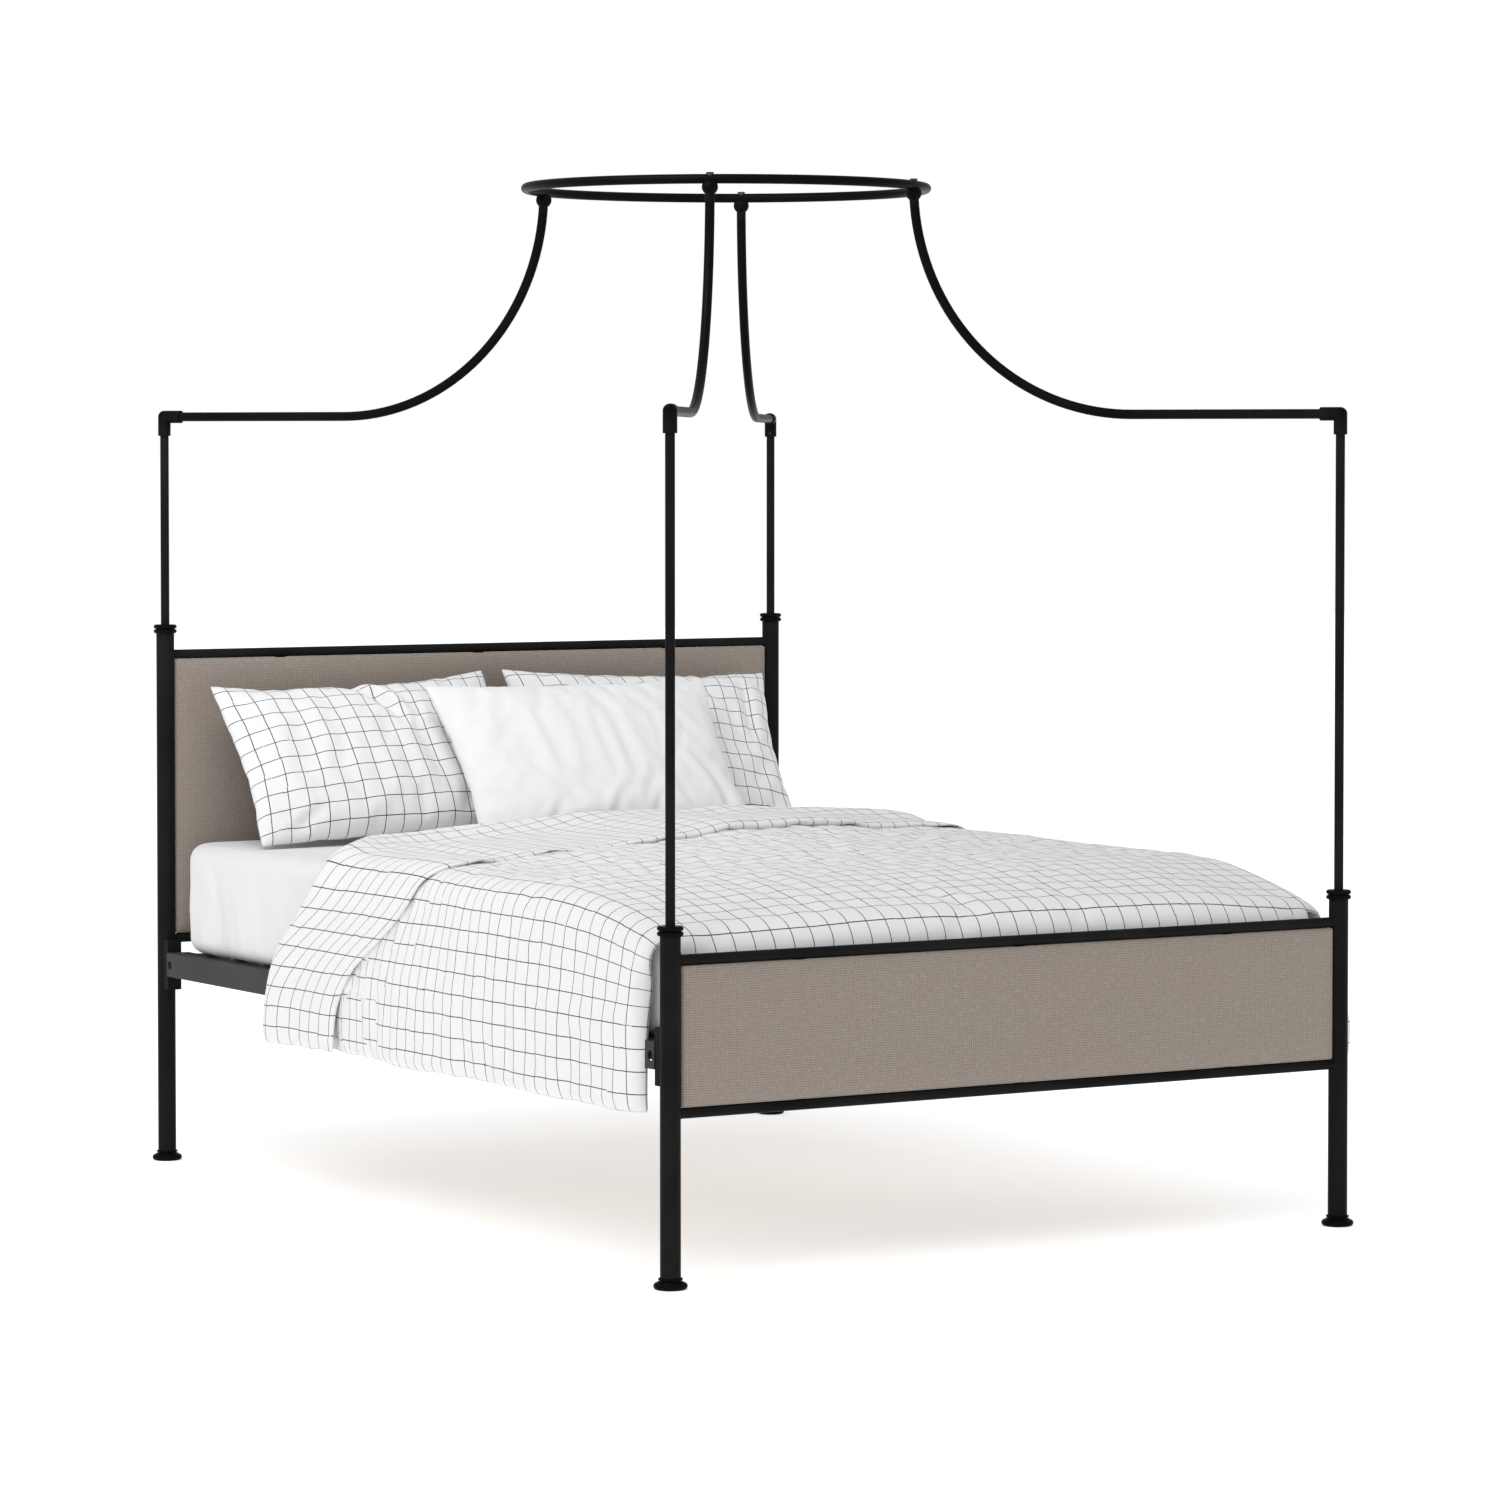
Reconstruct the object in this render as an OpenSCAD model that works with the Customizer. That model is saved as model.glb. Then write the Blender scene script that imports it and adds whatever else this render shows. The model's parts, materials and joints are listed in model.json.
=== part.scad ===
// Four poster canopy bed in tubular steel, with upholstered end panels and a round crown ring.
// Origin: on the floor at the middle of the bed. +Z up, head end at +Y, foot end at -Y.

/* [Frame] */
// Distance between post centres across the bed
post_span_x = 1512; // [1300:1:1900]
// Distance between post centres along the bed
post_span_y = 2084; // [1950:1:2300]
// Height of the head legs, where their collars sit
head_leg_top = 1120; // [1000:1:1300]
// Height of the foot legs, where their collars sit
foot_leg_top = 636.5; // [560:0.5:800]
// Height of the straight part of the canopy arms
arm_height = 1578; // [1450:1:1900]

/* [Posts] */
// Outer diameter of the leg tube
leg_d = 38; // [32:1:46]
// Wall of the leg tube
leg_wall = 1.5; // [1:0.1:3]
// Outer diameter of the upper pole
pole_d = 18; // [14:0.5:22]
// Wall of the upper pole
pole_wall = 1.5; // [1:0.1:2.5]
// How far the pole stands down inside the leg
pole_seat = 30; // [20:1:60]
// Height of the turned foot
foot_h = 21; // [18:1:30]
// Largest diameter of the turned foot
foot_d = 62.4; // [56:0.2:72]
// Height of the double-bead collar
collar_h = 18.5; // [17:0.5:24]
// How far the collar beads stand out from the leg
collar_proud = 5.25; // [4:0.25:8]
// Length of the spigots that plug the collar and the foot into the leg
spigot_l = 38; // [32:1:60]

/* [Canopy] */
// Outer diameter of the canopy arm tube
arm_d = 19; // [15:0.5:22]
// Wall of the canopy arm tube
arm_wall = 1.5; // [1:0.1:2.5]
// Radius of the arm's quarter bend
bend_r = 458; // [380:1:500]
// Radius of the crown ring at the middle of its tube
ring_r = 405; // [340:1:480]
// Outer diameter of the crown ring tube
ring_d = 19; // [15:0.5:22]
// Wall of the crown ring tube
ring_wall = 1.5; // [1:0.1:2.5]
// Diameter of the ball fitting under the ring
ball_d = 32; // [30:0.5:38]
// Wall of the elbow fitting around the pole and the arm
elbow_wall = 3.75; // [2.5:0.25:6]
// Length of each elbow socket from the corner
elbow_reach = 40; // [30:1:60]
// Diameter of the cap bolt's shank
ring_bolt_d = 6; // [5:0.5:8]

/* [End panels] */
// Outer diameter of the horizontal rails
rail_d = 20; // [16:0.5:25]
// Wall of the horizontal rails
rail_wall = 1.5; // [1:0.1:2.5]
// Height of the headboard's top rail centre
head_rail_top = 1075; // [950:1:1100]
// Height of the headboard's bottom rail centre
head_rail_low = 472; // [470:1:600]
// Height of the footboard's top rail centre
foot_rail_top = 592.5; // [540:0.5:620]
// Height of the footboard's bottom rail centre
foot_rail_low = 316; // [250:1:360]
// Thickness of the board inside each panel
board_t = 12; // [9:0.5:18]
// Padding on each face of the board
pad_t = 10; // [5:0.5:14]
// Fabric and wadding round the edges of the board
edge_pad = 4; // [2:0.5:8]

/* [Bed base] */
// Height of the side rail's top flange above the floor
base_top = 444; // [380:1:455]
// Height of the side rail's upright face
side_rail_h = 50; // [46:1:70]
// Width of the side rail's top flange
flange_w = 50; // [40:1:60]
// Thickness of the side rail's steel
steel_t = 3; // [2:0.5:5]
// How far the side rail's outer face lies outside the post centres
rail_out = 15; // [12:0.5:18]
// Length of the bracket from the leg's face to the side rail's end
bracket_reach = 14; // [13:0.5:20]
// Height of the bracket that the side rail bolts to
bracket_h = 106; // [80:1:130]
// Width of the bracket
bracket_w = 32; // [28:1:36]
// Height of the cross rails
cross_h = 30; // [25:1:40]
// Width of the cross rails and of the centre rail
cross_w = 40; // [30:1:50]
// Number of slats in each half
slat_count = 14; // [10:1:18]
// Width of one slat
slat_w = 53; // [40:1:68]
// Thickness of one slat
slat_t = 8; // [6:0.5:12]
// How far a slat goes into its cap
slat_grip = 30; // [20:1:40]
// Rise of a slat's middle above its ends
slat_rise = 2; // [0:0.25:2]

/* [Bedding] */
// Width of the mattress
mattress_w = 1500; // [1350:1:1500]
// Length of the mattress
mattress_l = 2000; // [1850:1:2004]
// Thickness of the mattress
mattress_h = 230; // [180:1:280]
// Radius of the mattress corners
mattress_corner = 90; // [40:1:140]
// Thickness of the fitted sheet
sheet_t = 1.5; // [1:0.5:3]
// Thickness of the duvet on top of the mattress
duvet_t = 45; // [25:1:70]
// Extra thickness where the head end of the duvet is folded back
duvet_fold_t = 30; // [10:1:45]
// Length of the folded-back band
duvet_fold_l = 430; // [200:1:600]
// Height of the duvet's side hems above the floor
duvet_hem = 305; // [200:1:420]
// Thickness of the duvet where it hangs
duvet_side_t = 36; // [20:1:50]
// Gap between the duvet's head edge and the front pillow
duvet_head_gap = 6; // [2:1:60]
// Width of a pillow between its side tips
pillow_w = 668; // [500:1:690]
// Height of a pillow between its lower and upper tips
pillow_h = 420; // [350:1:450]
// Thickness of a pillow
pillow_t = 132; // [80:1:150]
// Angle of the pillows back from upright
pillow_lean = 39; // [25:1:50]
// Turn of the two back pillows, with their inner tips raised
pillow_roll = 2.3; // [0:0.1:6]

/* [Hidden] */
$fn = 64;

steel = "#1a1b1d";
rail_grey = "#3f4042";
taupe = "#9a9086";
linen = "#f1f1f0";
birch = "#d9c39a";

fit = 0.1;             // radial clearance between plugged and socketed pieces
soft_gap = 0.5;        // clearance between a soft piece and its neighbours
eps = 1;               // how far a cutting tool runs past the face it cuts

half_x = post_span_x / 2;
half_y = post_span_y / 2;
corner_r = norm([half_x, half_y]);
diagonal = atan2(half_y, half_x);
leg_r = leg_d / 2;
bead_r = (collar_h - 1) / 4;

// Canopy: each arm runs level from its elbow, then bends up to end under the ring.
arm_straight = corner_r - ring_r - bend_r;
ring_z = arm_height + bend_r;
ball_z = ring_z - ball_d / 2;
arm_end_z = ball_z - ball_d / 4;
arm_sweep = acos(1 - (arm_end_z - arm_height) / bend_r);
elbow_d = arm_d + 2 * elbow_wall;
socket_stop = pole_d / 2 + 3;
ring_cap_d = 15;
ring_cap_h = 3.5;
grub_d = 5;

// Base: side rails carry slats on caps, and the mattress lies on the caps.
rail_face_x = half_x + rail_out;
rail_end_y = half_y - leg_r - bracket_reach;
bolt_d = 8;
bolt_head_t = 5.3;
nut_t = 6.5;
hex_d = 13 / cos(30);  // across the corners of a bolt head or nut 13 wide
washer_d = 15;
bolt_rise = 24;        // from the side rail's lower edge up to its bolts
bolt_z = base_top - side_rail_h + bolt_rise;
bolt_x = half_x - 3;
bracket_low = base_top - side_rail_h - 29;
access_d = 19;         // hole in the side rail that a spanner reaches the bolt through
access_in = 13;        // from the side rail's end to the middle of that hole
plate_in = 15;         // from the bolt to the inner edge of the side rail's end plate
cross_y = rail_end_y - 34;
cross_bolt_in = 18;    // from the side rail flange's edge to the cross rail's bolt
hook_l = 30;           // how far a centre rail hook reaches over the cross rail
box_wall = 1.5;        // of the cross rails and the centre rail
cross_top = base_top - steel_t;
cap_lip_t = 2;
cap_wall = 2;
cap_room = 0.5;
cap_w = slat_w + 2 * cap_wall;
cap_h = slat_t + slat_rise + cap_room + 2 * cap_wall;
cap_top = base_top + cap_lip_t;
cap_l = slat_grip + cap_wall;
cap_lip_l = 25;
peg_d = 8;
peg_in = 12;           // from the side rail flange's edge to a cap's peg
peg_l = 3;
flange_edge = rail_face_x - flange_w;
slat_from = cross_w / 2 + fit + cap_wall + cap_room;
slat_to = flange_edge - fit - cap_wall - cap_room;
slat_pitch = (2 * cross_y - cross_w - 2 * cap_w) / (slat_count - 1);

mattress_bottom = cap_top + soft_gap;
mattress_top = mattress_bottom + mattress_h;
sheet_top = mattress_top + sheet_t;
duvet_bottom = sheet_top + soft_gap;
duvet_top = duvet_bottom + duvet_t;
duvet_inner_x = max(rail_face_x, mattress_w / 2 + sheet_t) + 5;
duvet_outer_x = duvet_inner_x + duvet_side_t;
duvet_foot_y = mattress_l / 2 + sheet_t + soft_gap;
panel_t = board_t + 2 * pad_t;
duvet_foot_t = half_y - panel_t / 2 - 2 * soft_gap - duvet_foot_y;
duvet_foot_low = bracket_low + bracket_h + 2 * soft_gap;
duvet_corner_y = half_y - leg_r - 2 * soft_gap;
tip_r = 10;
pillow_z = sheet_top + soft_gap + tip_r;
pillow_back_gap = 45;  // between a back pillow's upper tips and the headboard
back_lift = sin(pillow_roll) * pillow_w / 2;
pillow_step = (pillow_t + 2 * soft_gap + back_lift * sin(pillow_lean)) / cos(pillow_lean);
back_pillow_y = half_y - panel_t / 2 - tip_r - pillow_back_gap - (pillow_h - 2 * tip_r) * sin(pillow_lean);
front_pillow_y = back_pillow_y - pillow_step;
back_pillow_x = pillow_w / 2 + 14;
front_pillow_x = 95;
duvet_head_y = front_pillow_y - tip_r - duvet_head_gap;

panel_gap = 2;         // between a panel's padded edge and the rails or legs round it
panel_half = half_x - leg_r - panel_gap;
fixing_xs = [-0.64, 0, 0.64];
fixing_shank = 5;
fixing_l = 30;
fixing_tab_w = 22;
fixing_tab_d = 14;

function slat_y(i) = (i - (slat_count - 1) / 2) * slat_pitch;

// ---- shared shapes ----

module tube(d, wall, h) {
  difference() {
    cylinder(d = d, h = h);
    translate([0, 0, -eps]) cylinder(d = d - 2 * wall, h = h + 2 * eps);
  }
}

module rounded_slab(w, l, h, r) {
  translate([-w / 2 + r, -l / 2, 0]) cube([w - 2 * r, l, h]);
  translate([-w / 2, -l / 2 + r, 0]) cube([w, l - 2 * r, h]);
  for (sx = [-1, 1], sy = [-1, 1])
    translate([sx * (w / 2 - r), sy * (l / 2 - r), 0]) cylinder(r = r, h = h);
}

// A post's own frame: on its axis, with +X towards the middle of the bed.
module at_post(sx, sy) {
  translate([sx * half_x, sy * half_y, 0])
    rotate([0, 0, atan2(-sy * half_y, -sx * half_x)]) children();
}

// ---- posts ----

module leg(sx, sy, top) {
  color(steel) translate([sx * half_x, sy * half_y, foot_h]) tube(leg_d, leg_wall, top - foot_h);
}

module spigot(h) {
  cylinder(d = leg_d - 2 * leg_wall - 2 * fit, h = h);
}

module turned_foot(sx, sy) {
  bead = 6.2;
  cove_r = 5;
  small_bead = 1.75;
  color(steel) translate([sx * half_x, sy * half_y, 0]) {
    rotate_extrude() {
      square([leg_r, foot_h]);
      square([foot_d / 2 - bead, 2 * bead]);
      translate([foot_d / 2 - bead, bead]) circle(r = bead);
      translate([leg_r + small_bead, foot_h - 0.35 - small_bead]) circle(r = small_bead);
      difference() {
        square([foot_d / 2 - bead, 2 * bead + 2]);
        translate([foot_d / 2 - 3.7, 2 * bead + 4.4]) circle(r = cove_r);
      }
    }
    translate([0, 0, foot_h]) spigot(spigot_l);
  }
}

module collar(sx, sy, top) {
  color(steel) translate([sx * half_x, sy * half_y, top]) difference() {
    union() {
      rotate_extrude() {
        square([leg_r + collar_proud - bead_r, collar_h]);
        for (z = [bead_r, collar_h - bead_r])
          translate([leg_r + collar_proud - bead_r, z]) circle(r = bead_r);
      }
      translate([0, 0, -spigot_l]) spigot(spigot_l + eps);
    }
    translate([0, 0, -pole_seat]) cylinder(d = pole_d + 2 * fit, h = pole_seat + collar_h + eps);
  }
}

module pole(sx, sy, top) {
  color(steel) translate([sx * half_x, sy * half_y, top - pole_seat])
    tube(pole_d, pole_wall, arm_height - socket_stop - top + pole_seat);
}

// ---- canopy ----

module elbow(sx, sy) {
  color(steel) at_post(sx, sy) translate([0, 0, arm_height]) difference() {
    union() {
      sphere(d = elbow_d);
      translate([0, 0, -elbow_reach]) cylinder(d = elbow_d, h = elbow_reach);
      rotate([0, 90, 0]) cylinder(d = elbow_d, h = elbow_reach);
    }
    translate([0, 0, -elbow_reach - eps])
      cylinder(d = pole_d + 2 * fit, h = elbow_reach + eps - socket_stop);
    translate([socket_stop, 0, 0]) rotate([0, 90, 0])
      cylinder(d = arm_d + 2 * fit, h = elbow_reach + eps - socket_stop);
    grub_places() cylinder(d = grub_d, h = elbow_d);
  }
}

// Grub screws: one into the pole from the bed side, one into the arm from below.
module grub_places() {
  reach = elbow_reach - 8;
  translate([0, 0, -reach]) rotate([0, 90, 0]) children();
  translate([reach, 0, 0]) rotate([180, 0, 0]) children();
}

module grub_screw() {
  start = max(arm_d, pole_d) / 2 + fit;
  difference() {
    translate([0, 0, start]) cylinder(d = grub_d - fit, h = elbow_d / 2 - start);
    translate([0, 0, elbow_d / 2 - 2]) cylinder(d = 2.5, h = 2 + eps, $fn = 6);
  }
}

module elbow_screws() {
  color(steel) for (sx = [-1, 1], sy = [-1, 1])
    at_post(sx, sy) translate([0, 0, arm_height]) grub_places() grub_screw();
}

// The arm's line from the elbow to the ball, as a solid rod of diameter d or a tube.
module arm_run(d, bore) {
  length = arm_straight - socket_stop;
  rotate([0, 90, 0]) translate([0, 0, socket_stop]) {
    if (bore > 0) tube(d, (d - bore) / 2, length);
    else cylinder(d = d, h = length);
  }
  translate([arm_straight, 0, bend_r]) rotate([90, 0, 0]) rotate([0, 0, -90])
    rotate_extrude(angle = arm_sweep) translate([bend_r, 0]) difference() {
      circle(d = d);
      if (bore > 0) circle(d = bore);
    }
}

module canopy_arm(sx, sy) {
  color(steel) at_post(sx, sy) translate([0, 0, arm_height]) arm_run(arm_d, arm_d - 2 * arm_wall);
}

module ring_tube(d) {
  translate([0, 0, ring_z]) rotate_extrude($fn = 160) translate([ring_r, 0]) circle(d = d);
}

// Centre of the ring's fixing above each post's arm.
module at_ring(sx, sy) {
  rotate([0, 0, atan2(sy * half_y, sx * half_x)]) translate([ring_r, 0, 0]) children();
}

module ring_ball(sx, sy) {
  color(steel) difference() {
    at_ring(sx, sy) translate([0, 0, ball_z]) sphere(d = ball_d);
    ring_tube(ring_d);
    at_post(sx, sy) translate([0, 0, arm_height]) arm_run(arm_d, 0);
    at_ring(sx, sy) translate([0, 0, arm_end_z - eps]) cylinder(d = ring_bolt_d, h = ball_d);
  }
}

module crown_ring() {
  color(steel) difference() {
    ring_tube(ring_d);
    ring_tube(ring_d - 2 * ring_wall);
    for (sx = [-1, 1], sy = [-1, 1])
      at_ring(sx, sy) translate([0, 0, ring_z - ring_d])
        cylinder(d = ring_bolt_d + 2 * fit, h = 2 * ring_d);
  }
}

module ring_bolts() {
  color(steel) for (sx = [-1, 1], sy = [-1, 1]) difference() {
    at_ring(sx, sy) {
      translate([0, 0, ring_z]) cylinder(d = ring_cap_d, h = ring_d / 2 + ring_cap_h);
      translate([0, 0, arm_end_z + 1]) cylinder(d = ring_bolt_d - fit, h = ring_z + eps - arm_end_z);
    }
    difference() {
      ring_tube(ring_d);
      at_ring(sx, sy) translate([0, 0, ring_z - ring_d]) cylinder(d = ring_bolt_d - fit, h = 2 * ring_d);
    }
  }
}

// ---- headboard and footboard ----

module end_rail(sy, z) {
  color(steel) difference() {
    translate([-half_x, sy * half_y, z]) rotate([0, 90, 0]) tube(rail_d, rail_wall, 2 * half_x);
    for (sx = [-1, 1])
      translate([sx * half_x, sy * half_y, z - rail_d]) cylinder(d = leg_d, h = 2 * rail_d);
  }
}

module panel_fixings(sy, low, high) {
  color(steel) for (u = fixing_xs, end = [-1, 1]) {
    edge = end > 0 ? high - rail_d / 2 : low + rail_d / 2;
    translate([u * half_x, sy * half_y, edge]) mirror([0, 0, end < 0 ? 1 : 0]) {
      translate([-fixing_tab_w / 2, -fixing_tab_d / 2, -panel_gap])
        cube([fixing_tab_w, fixing_tab_d, panel_gap]);
      translate([0, 0, -fixing_l]) cylinder(d = fixing_shank, h = fixing_l - panel_gap / 2);
    }
  }
}

module fixing_holes(sy, low, high) {
  for (u = fixing_xs, end = [-1, 1]) {
    edge = end > 0 ? high - rail_d / 2 : low + rail_d / 2;
    translate([u * half_x, sy * half_y, edge])
      cylinder(d = fixing_shank + 2 * fit, h = 2 * (fixing_l + 1), center = true);
  }
}

module panel_board(sy, low, high) {
  bottom = low + rail_d / 2 + panel_gap;
  top = high - rail_d / 2 - panel_gap - edge_pad;
  color(birch) difference() {
    translate([-panel_half + edge_pad, sy * half_y - board_t / 2, bottom])
      cube([2 * (panel_half - edge_pad), board_t, top - bottom]);
    fixing_holes(sy, low, high);
  }
}

// Padded cover: a sleeve pulled down over the board, open along its lower edge.
module panel_cover(sy, low, high) {
  bottom = low + rail_d / 2 + panel_gap;
  top = high - rail_d / 2 - panel_gap;
  edge = pad_t * 0.7;
  y = panel_t / 2;
  color(taupe) difference() {
    translate([-panel_half, sy * half_y, 0]) rotate([90, 0, 90]) linear_extrude(2 * panel_half)
      polygon([
        [-y + edge, bottom], [y - edge, bottom], [y, bottom + edge], [y, top - edge],
        [y - edge, top], [-y + edge, top], [-y, top - edge], [-y, bottom + edge]
      ]);
    translate([-panel_half + edge_pad, sy * half_y - board_t / 2, bottom - eps])
      cube([2 * (panel_half - edge_pad), board_t, top - edge_pad - bottom + eps]);
    fixing_holes(sy, low, high);
  }
}

// ---- bed base ----

module side_rail(sx) {
  color(rail_grey) mirror([sx < 0 ? 1 : 0, 0, 0]) difference() {
    union() {
      translate([rail_face_x - steel_t, -rail_end_y, base_top - side_rail_h])
        cube([steel_t, 2 * rail_end_y, side_rail_h]);
      translate([flange_edge, -rail_end_y, base_top - steel_t])
        cube([flange_w, 2 * rail_end_y, steel_t]);
      for (sy = [-1, 1])
        translate([bolt_x - plate_in, sy * (rail_end_y - steel_t / 2) - steel_t / 2, base_top - side_rail_h])
          cube([rail_face_x - bolt_x + plate_in, steel_t, side_rail_h]);
    }
    for (sy = [-1, 1]) {
      translate([bolt_x, sy * (rail_end_y - 5), bolt_z]) rotate([90, 0, 0])
        cylinder(d = bolt_d + 2 * fit, h = 20, center = true);
      translate([rail_face_x, sy * (rail_end_y - access_in), bolt_z]) rotate([0, 90, 0])
        cylinder(d = access_d, h = 4 * steel_t, center = true);
      translate([flange_edge + cross_bolt_in, sy * cross_y, base_top])
        cylinder(d = bolt_d + 2 * fit, h = 4 * steel_t, center = true);
    }
    for (i = [0 : slat_count - 1])
      translate([flange_edge + peg_in, slat_y(i), base_top])
        cylinder(d = peg_d + 2 * fit, h = 4 * steel_t, center = true);
  }
}

// Channel welded to the front left leg, with its web facing the side rail's end.
module rail_bracket() {
  web_y = leg_r + bracket_reach;
  root_y = rail_d / 2 + fit;
  translate([-half_x, -half_y, bracket_low]) difference() {
    translate([half_x - bolt_x - bracket_w / 2, root_y, 0]) cube([bracket_w, web_y - root_y, bracket_h]);
    translate([half_x - bolt_x - bracket_w / 2 + steel_t, 0, -eps])
      cube([bracket_w - 2 * steel_t, web_y - steel_t, bracket_h + 2 * eps]);
    translate([0, 0, -eps]) cylinder(d = leg_d, h = bracket_h + 2 * eps);
    translate([half_x - bolt_x, web_y, bolt_z - bracket_low]) rotate([90, 0, 0])
      cylinder(d = bolt_d + 2 * fit, h = 20, center = true);
  }
}

module rail_brackets() {
  color(steel) for (mx = [0, 1], my = [0, 1]) mirror([mx, 0, 0]) mirror([0, my, 0]) rail_bracket();
}

module rail_bolt_frame(sx, sy) {
  translate([sx * bolt_x, sy * rail_end_y, bolt_z]) rotate([sy > 0 ? -90 : 90, 0, 0]) children();
}

module rail_bolts() {
  color(steel) for (sx = [-1, 1], sy = [-1, 1]) rail_bolt_frame(sx, sy) {
    translate([0, 0, -steel_t - bolt_head_t]) cylinder(d = hex_d, h = bolt_head_t, $fn = 6);
    translate([0, 0, -steel_t - 1]) cylinder(d = bolt_d, h = 2 * steel_t + nut_t + 2);
  }
}

module rail_nuts() {
  color(steel) for (sx = [-1, 1], sy = [-1, 1]) rail_bolt_frame(sx, sy) difference() {
    translate([0, 0, steel_t]) cylinder(d = hex_d, h = nut_t, $fn = 6);
    translate([0, 0, steel_t - eps]) cylinder(d = bolt_d + 2 * fit, h = nut_t + 2 * eps);
  }
}

module cross_rail(sy) {
  inner_x = rail_face_x - steel_t;
  color(steel) difference() {
    translate([-inner_x, sy * cross_y - cross_w / 2, cross_top - cross_h])
      cube([2 * inner_x, cross_w, cross_h]);
    translate([-inner_x - eps, sy * cross_y - cross_w / 2 + box_wall, cross_top - cross_h + box_wall])
      cube([2 * inner_x + 2 * eps, cross_w - 2 * box_wall, cross_h - 2 * box_wall]);
    for (sx = [-1, 1])
      translate([sx * (flange_edge + cross_bolt_in), sy * cross_y, cross_top - cross_h / 2])
        cylinder(d = bolt_d + 2 * fit, h = cross_h + 2 * eps, center = true);
  }
}

module cross_rail_bolts() {
  nut_low = cross_top - cross_h - nut_t;
  color(steel) for (sx = [-1, 1], sy = [-1, 1])
    translate([sx * (flange_edge + cross_bolt_in), sy * cross_y, 0]) {
      translate([0, 0, nut_low + eps]) cylinder(d = bolt_d, h = base_top - nut_low);
      translate([0, 0, base_top]) cylinder(d = washer_d, h = cap_lip_t);
      translate([0, 0, nut_low]) cylinder(d = hex_d, h = nut_t, $fn = 6);
    }
}

module centre_rail() {
  end_y = cross_y - cross_w / 2 - steel_t;
  color(steel) difference() {
    translate([-cross_w / 2, -end_y, base_top - cross_w]) cube([cross_w, 2 * end_y, cross_w]);
    translate([-cross_w / 2 + box_wall, -end_y - eps, base_top - cross_w + box_wall])
      cube([cross_w - 2 * box_wall, 2 * (end_y + eps), cross_w - 2 * box_wall]);
    for (i = [0 : slat_count - 1])
      translate([0, slat_y(i), base_top]) cylinder(d = peg_d + 2 * fit, h = 8, center = true);
  }
}

// Hooks at the ends of the centre rail that hang over the cross rails.
module centre_rail_hangers() {
  color(steel) for (sy = [-1, 1]) {
    y = sy * (cross_y - cross_w / 2 - steel_t / 2);
    translate([0, y, base_top - cross_w / 2]) cube([cross_w, steel_t, cross_w], center = true);
    translate([0, y + sy * hook_l / 2, base_top - steel_t / 2])
      cube([cross_w, hook_l + steel_t, steel_t], center = true);
  }
}

// One half of the slats: gently bowed strips between the centre rail and a side rail.
module slat(sx, y) {
  steps = 16;
  z0 = cap_top - cap_wall - cap_room - slat_t - slat_rise;
  span = slat_to - slat_from;
  function bow(t) = slat_rise * 4 * t * (1 - t);
  top_edge = [for (i = [steps : -1 : 0]) [slat_from + span * i / steps, z0 + slat_t + bow(i / steps)]];
  low_edge = [for (i = [0 : steps]) [slat_from + span * i / steps, z0 + bow(i / steps)]];
  mirror([sx < 0 ? 1 : 0, 0, 0]) translate([0, y + slat_w / 2, 0]) rotate([90, 0, 0])
    linear_extrude(slat_w) polygon(concat(low_edge, top_edge));
}

module slats() {
  color(birch) for (sx = [-1, 1], i = [0 : slat_count - 1]) slat(sx, slat_y(i));
}

// Pocket that holds a slat's end; it opens towards +X and ends at x = cap_l.
module slat_pocket() {
  difference() {
    translate([0, -cap_w / 2, -cap_h]) cube([cap_l, cap_w, cap_h]);
    translate([cap_wall, -slat_w / 2 - fit, -cap_h + cap_wall])
      cube([cap_l, slat_w + 2 * fit, cap_h - 2 * cap_wall]);
  }
}

module side_slat_caps() {
  color(steel) for (sx = [-1, 1], i = [0 : slat_count - 1])
    mirror([sx < 0 ? 1 : 0, 0, 0]) translate([flange_edge - fit, slat_y(i), cap_top]) {
      mirror([1, 0, 0]) slat_pocket();
      translate([-eps, -cap_w / 2, -cap_lip_t]) cube([cap_lip_l + eps, cap_w, cap_lip_t]);
      translate([peg_in + fit, 0, -cap_lip_t - steel_t - peg_l])
        cylinder(d = peg_d, h = steel_t + peg_l + eps);
    }
}

module centre_slat_caps() {
  color(steel) for (i = [0 : slat_count - 1]) translate([0, slat_y(i), cap_top]) {
    for (m = [0, 1]) mirror([m, 0, 0]) translate([cross_w / 2 + fit, 0, 0]) slat_pocket();
    translate([-cross_w / 2 - fit - eps, -cap_w / 2, -cap_lip_t])
      cube([cross_w + 2 * (fit + eps), cap_w, cap_lip_t]);
    translate([0, 0, -cap_lip_t - peg_l]) cylinder(d = peg_d, h = peg_l + eps);
  }
}

// ---- bedding ----

module mattress() {
  color(linen) translate([0, 0, mattress_bottom])
    rounded_slab(mattress_w, mattress_l, mattress_h, mattress_corner);
}

module fitted_sheet() {
  hem_z = mattress_bottom + 1;
  color(linen) difference() {
    translate([0, 0, hem_z])
      rounded_slab(mattress_w + 2 * sheet_t, mattress_l + 2 * sheet_t, sheet_top - hem_z,
        mattress_corner + sheet_t);
    translate([0, 0, hem_z - eps])
      rounded_slab(mattress_w, mattress_l, mattress_top - hem_z + eps, mattress_corner);
  }
}

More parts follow.
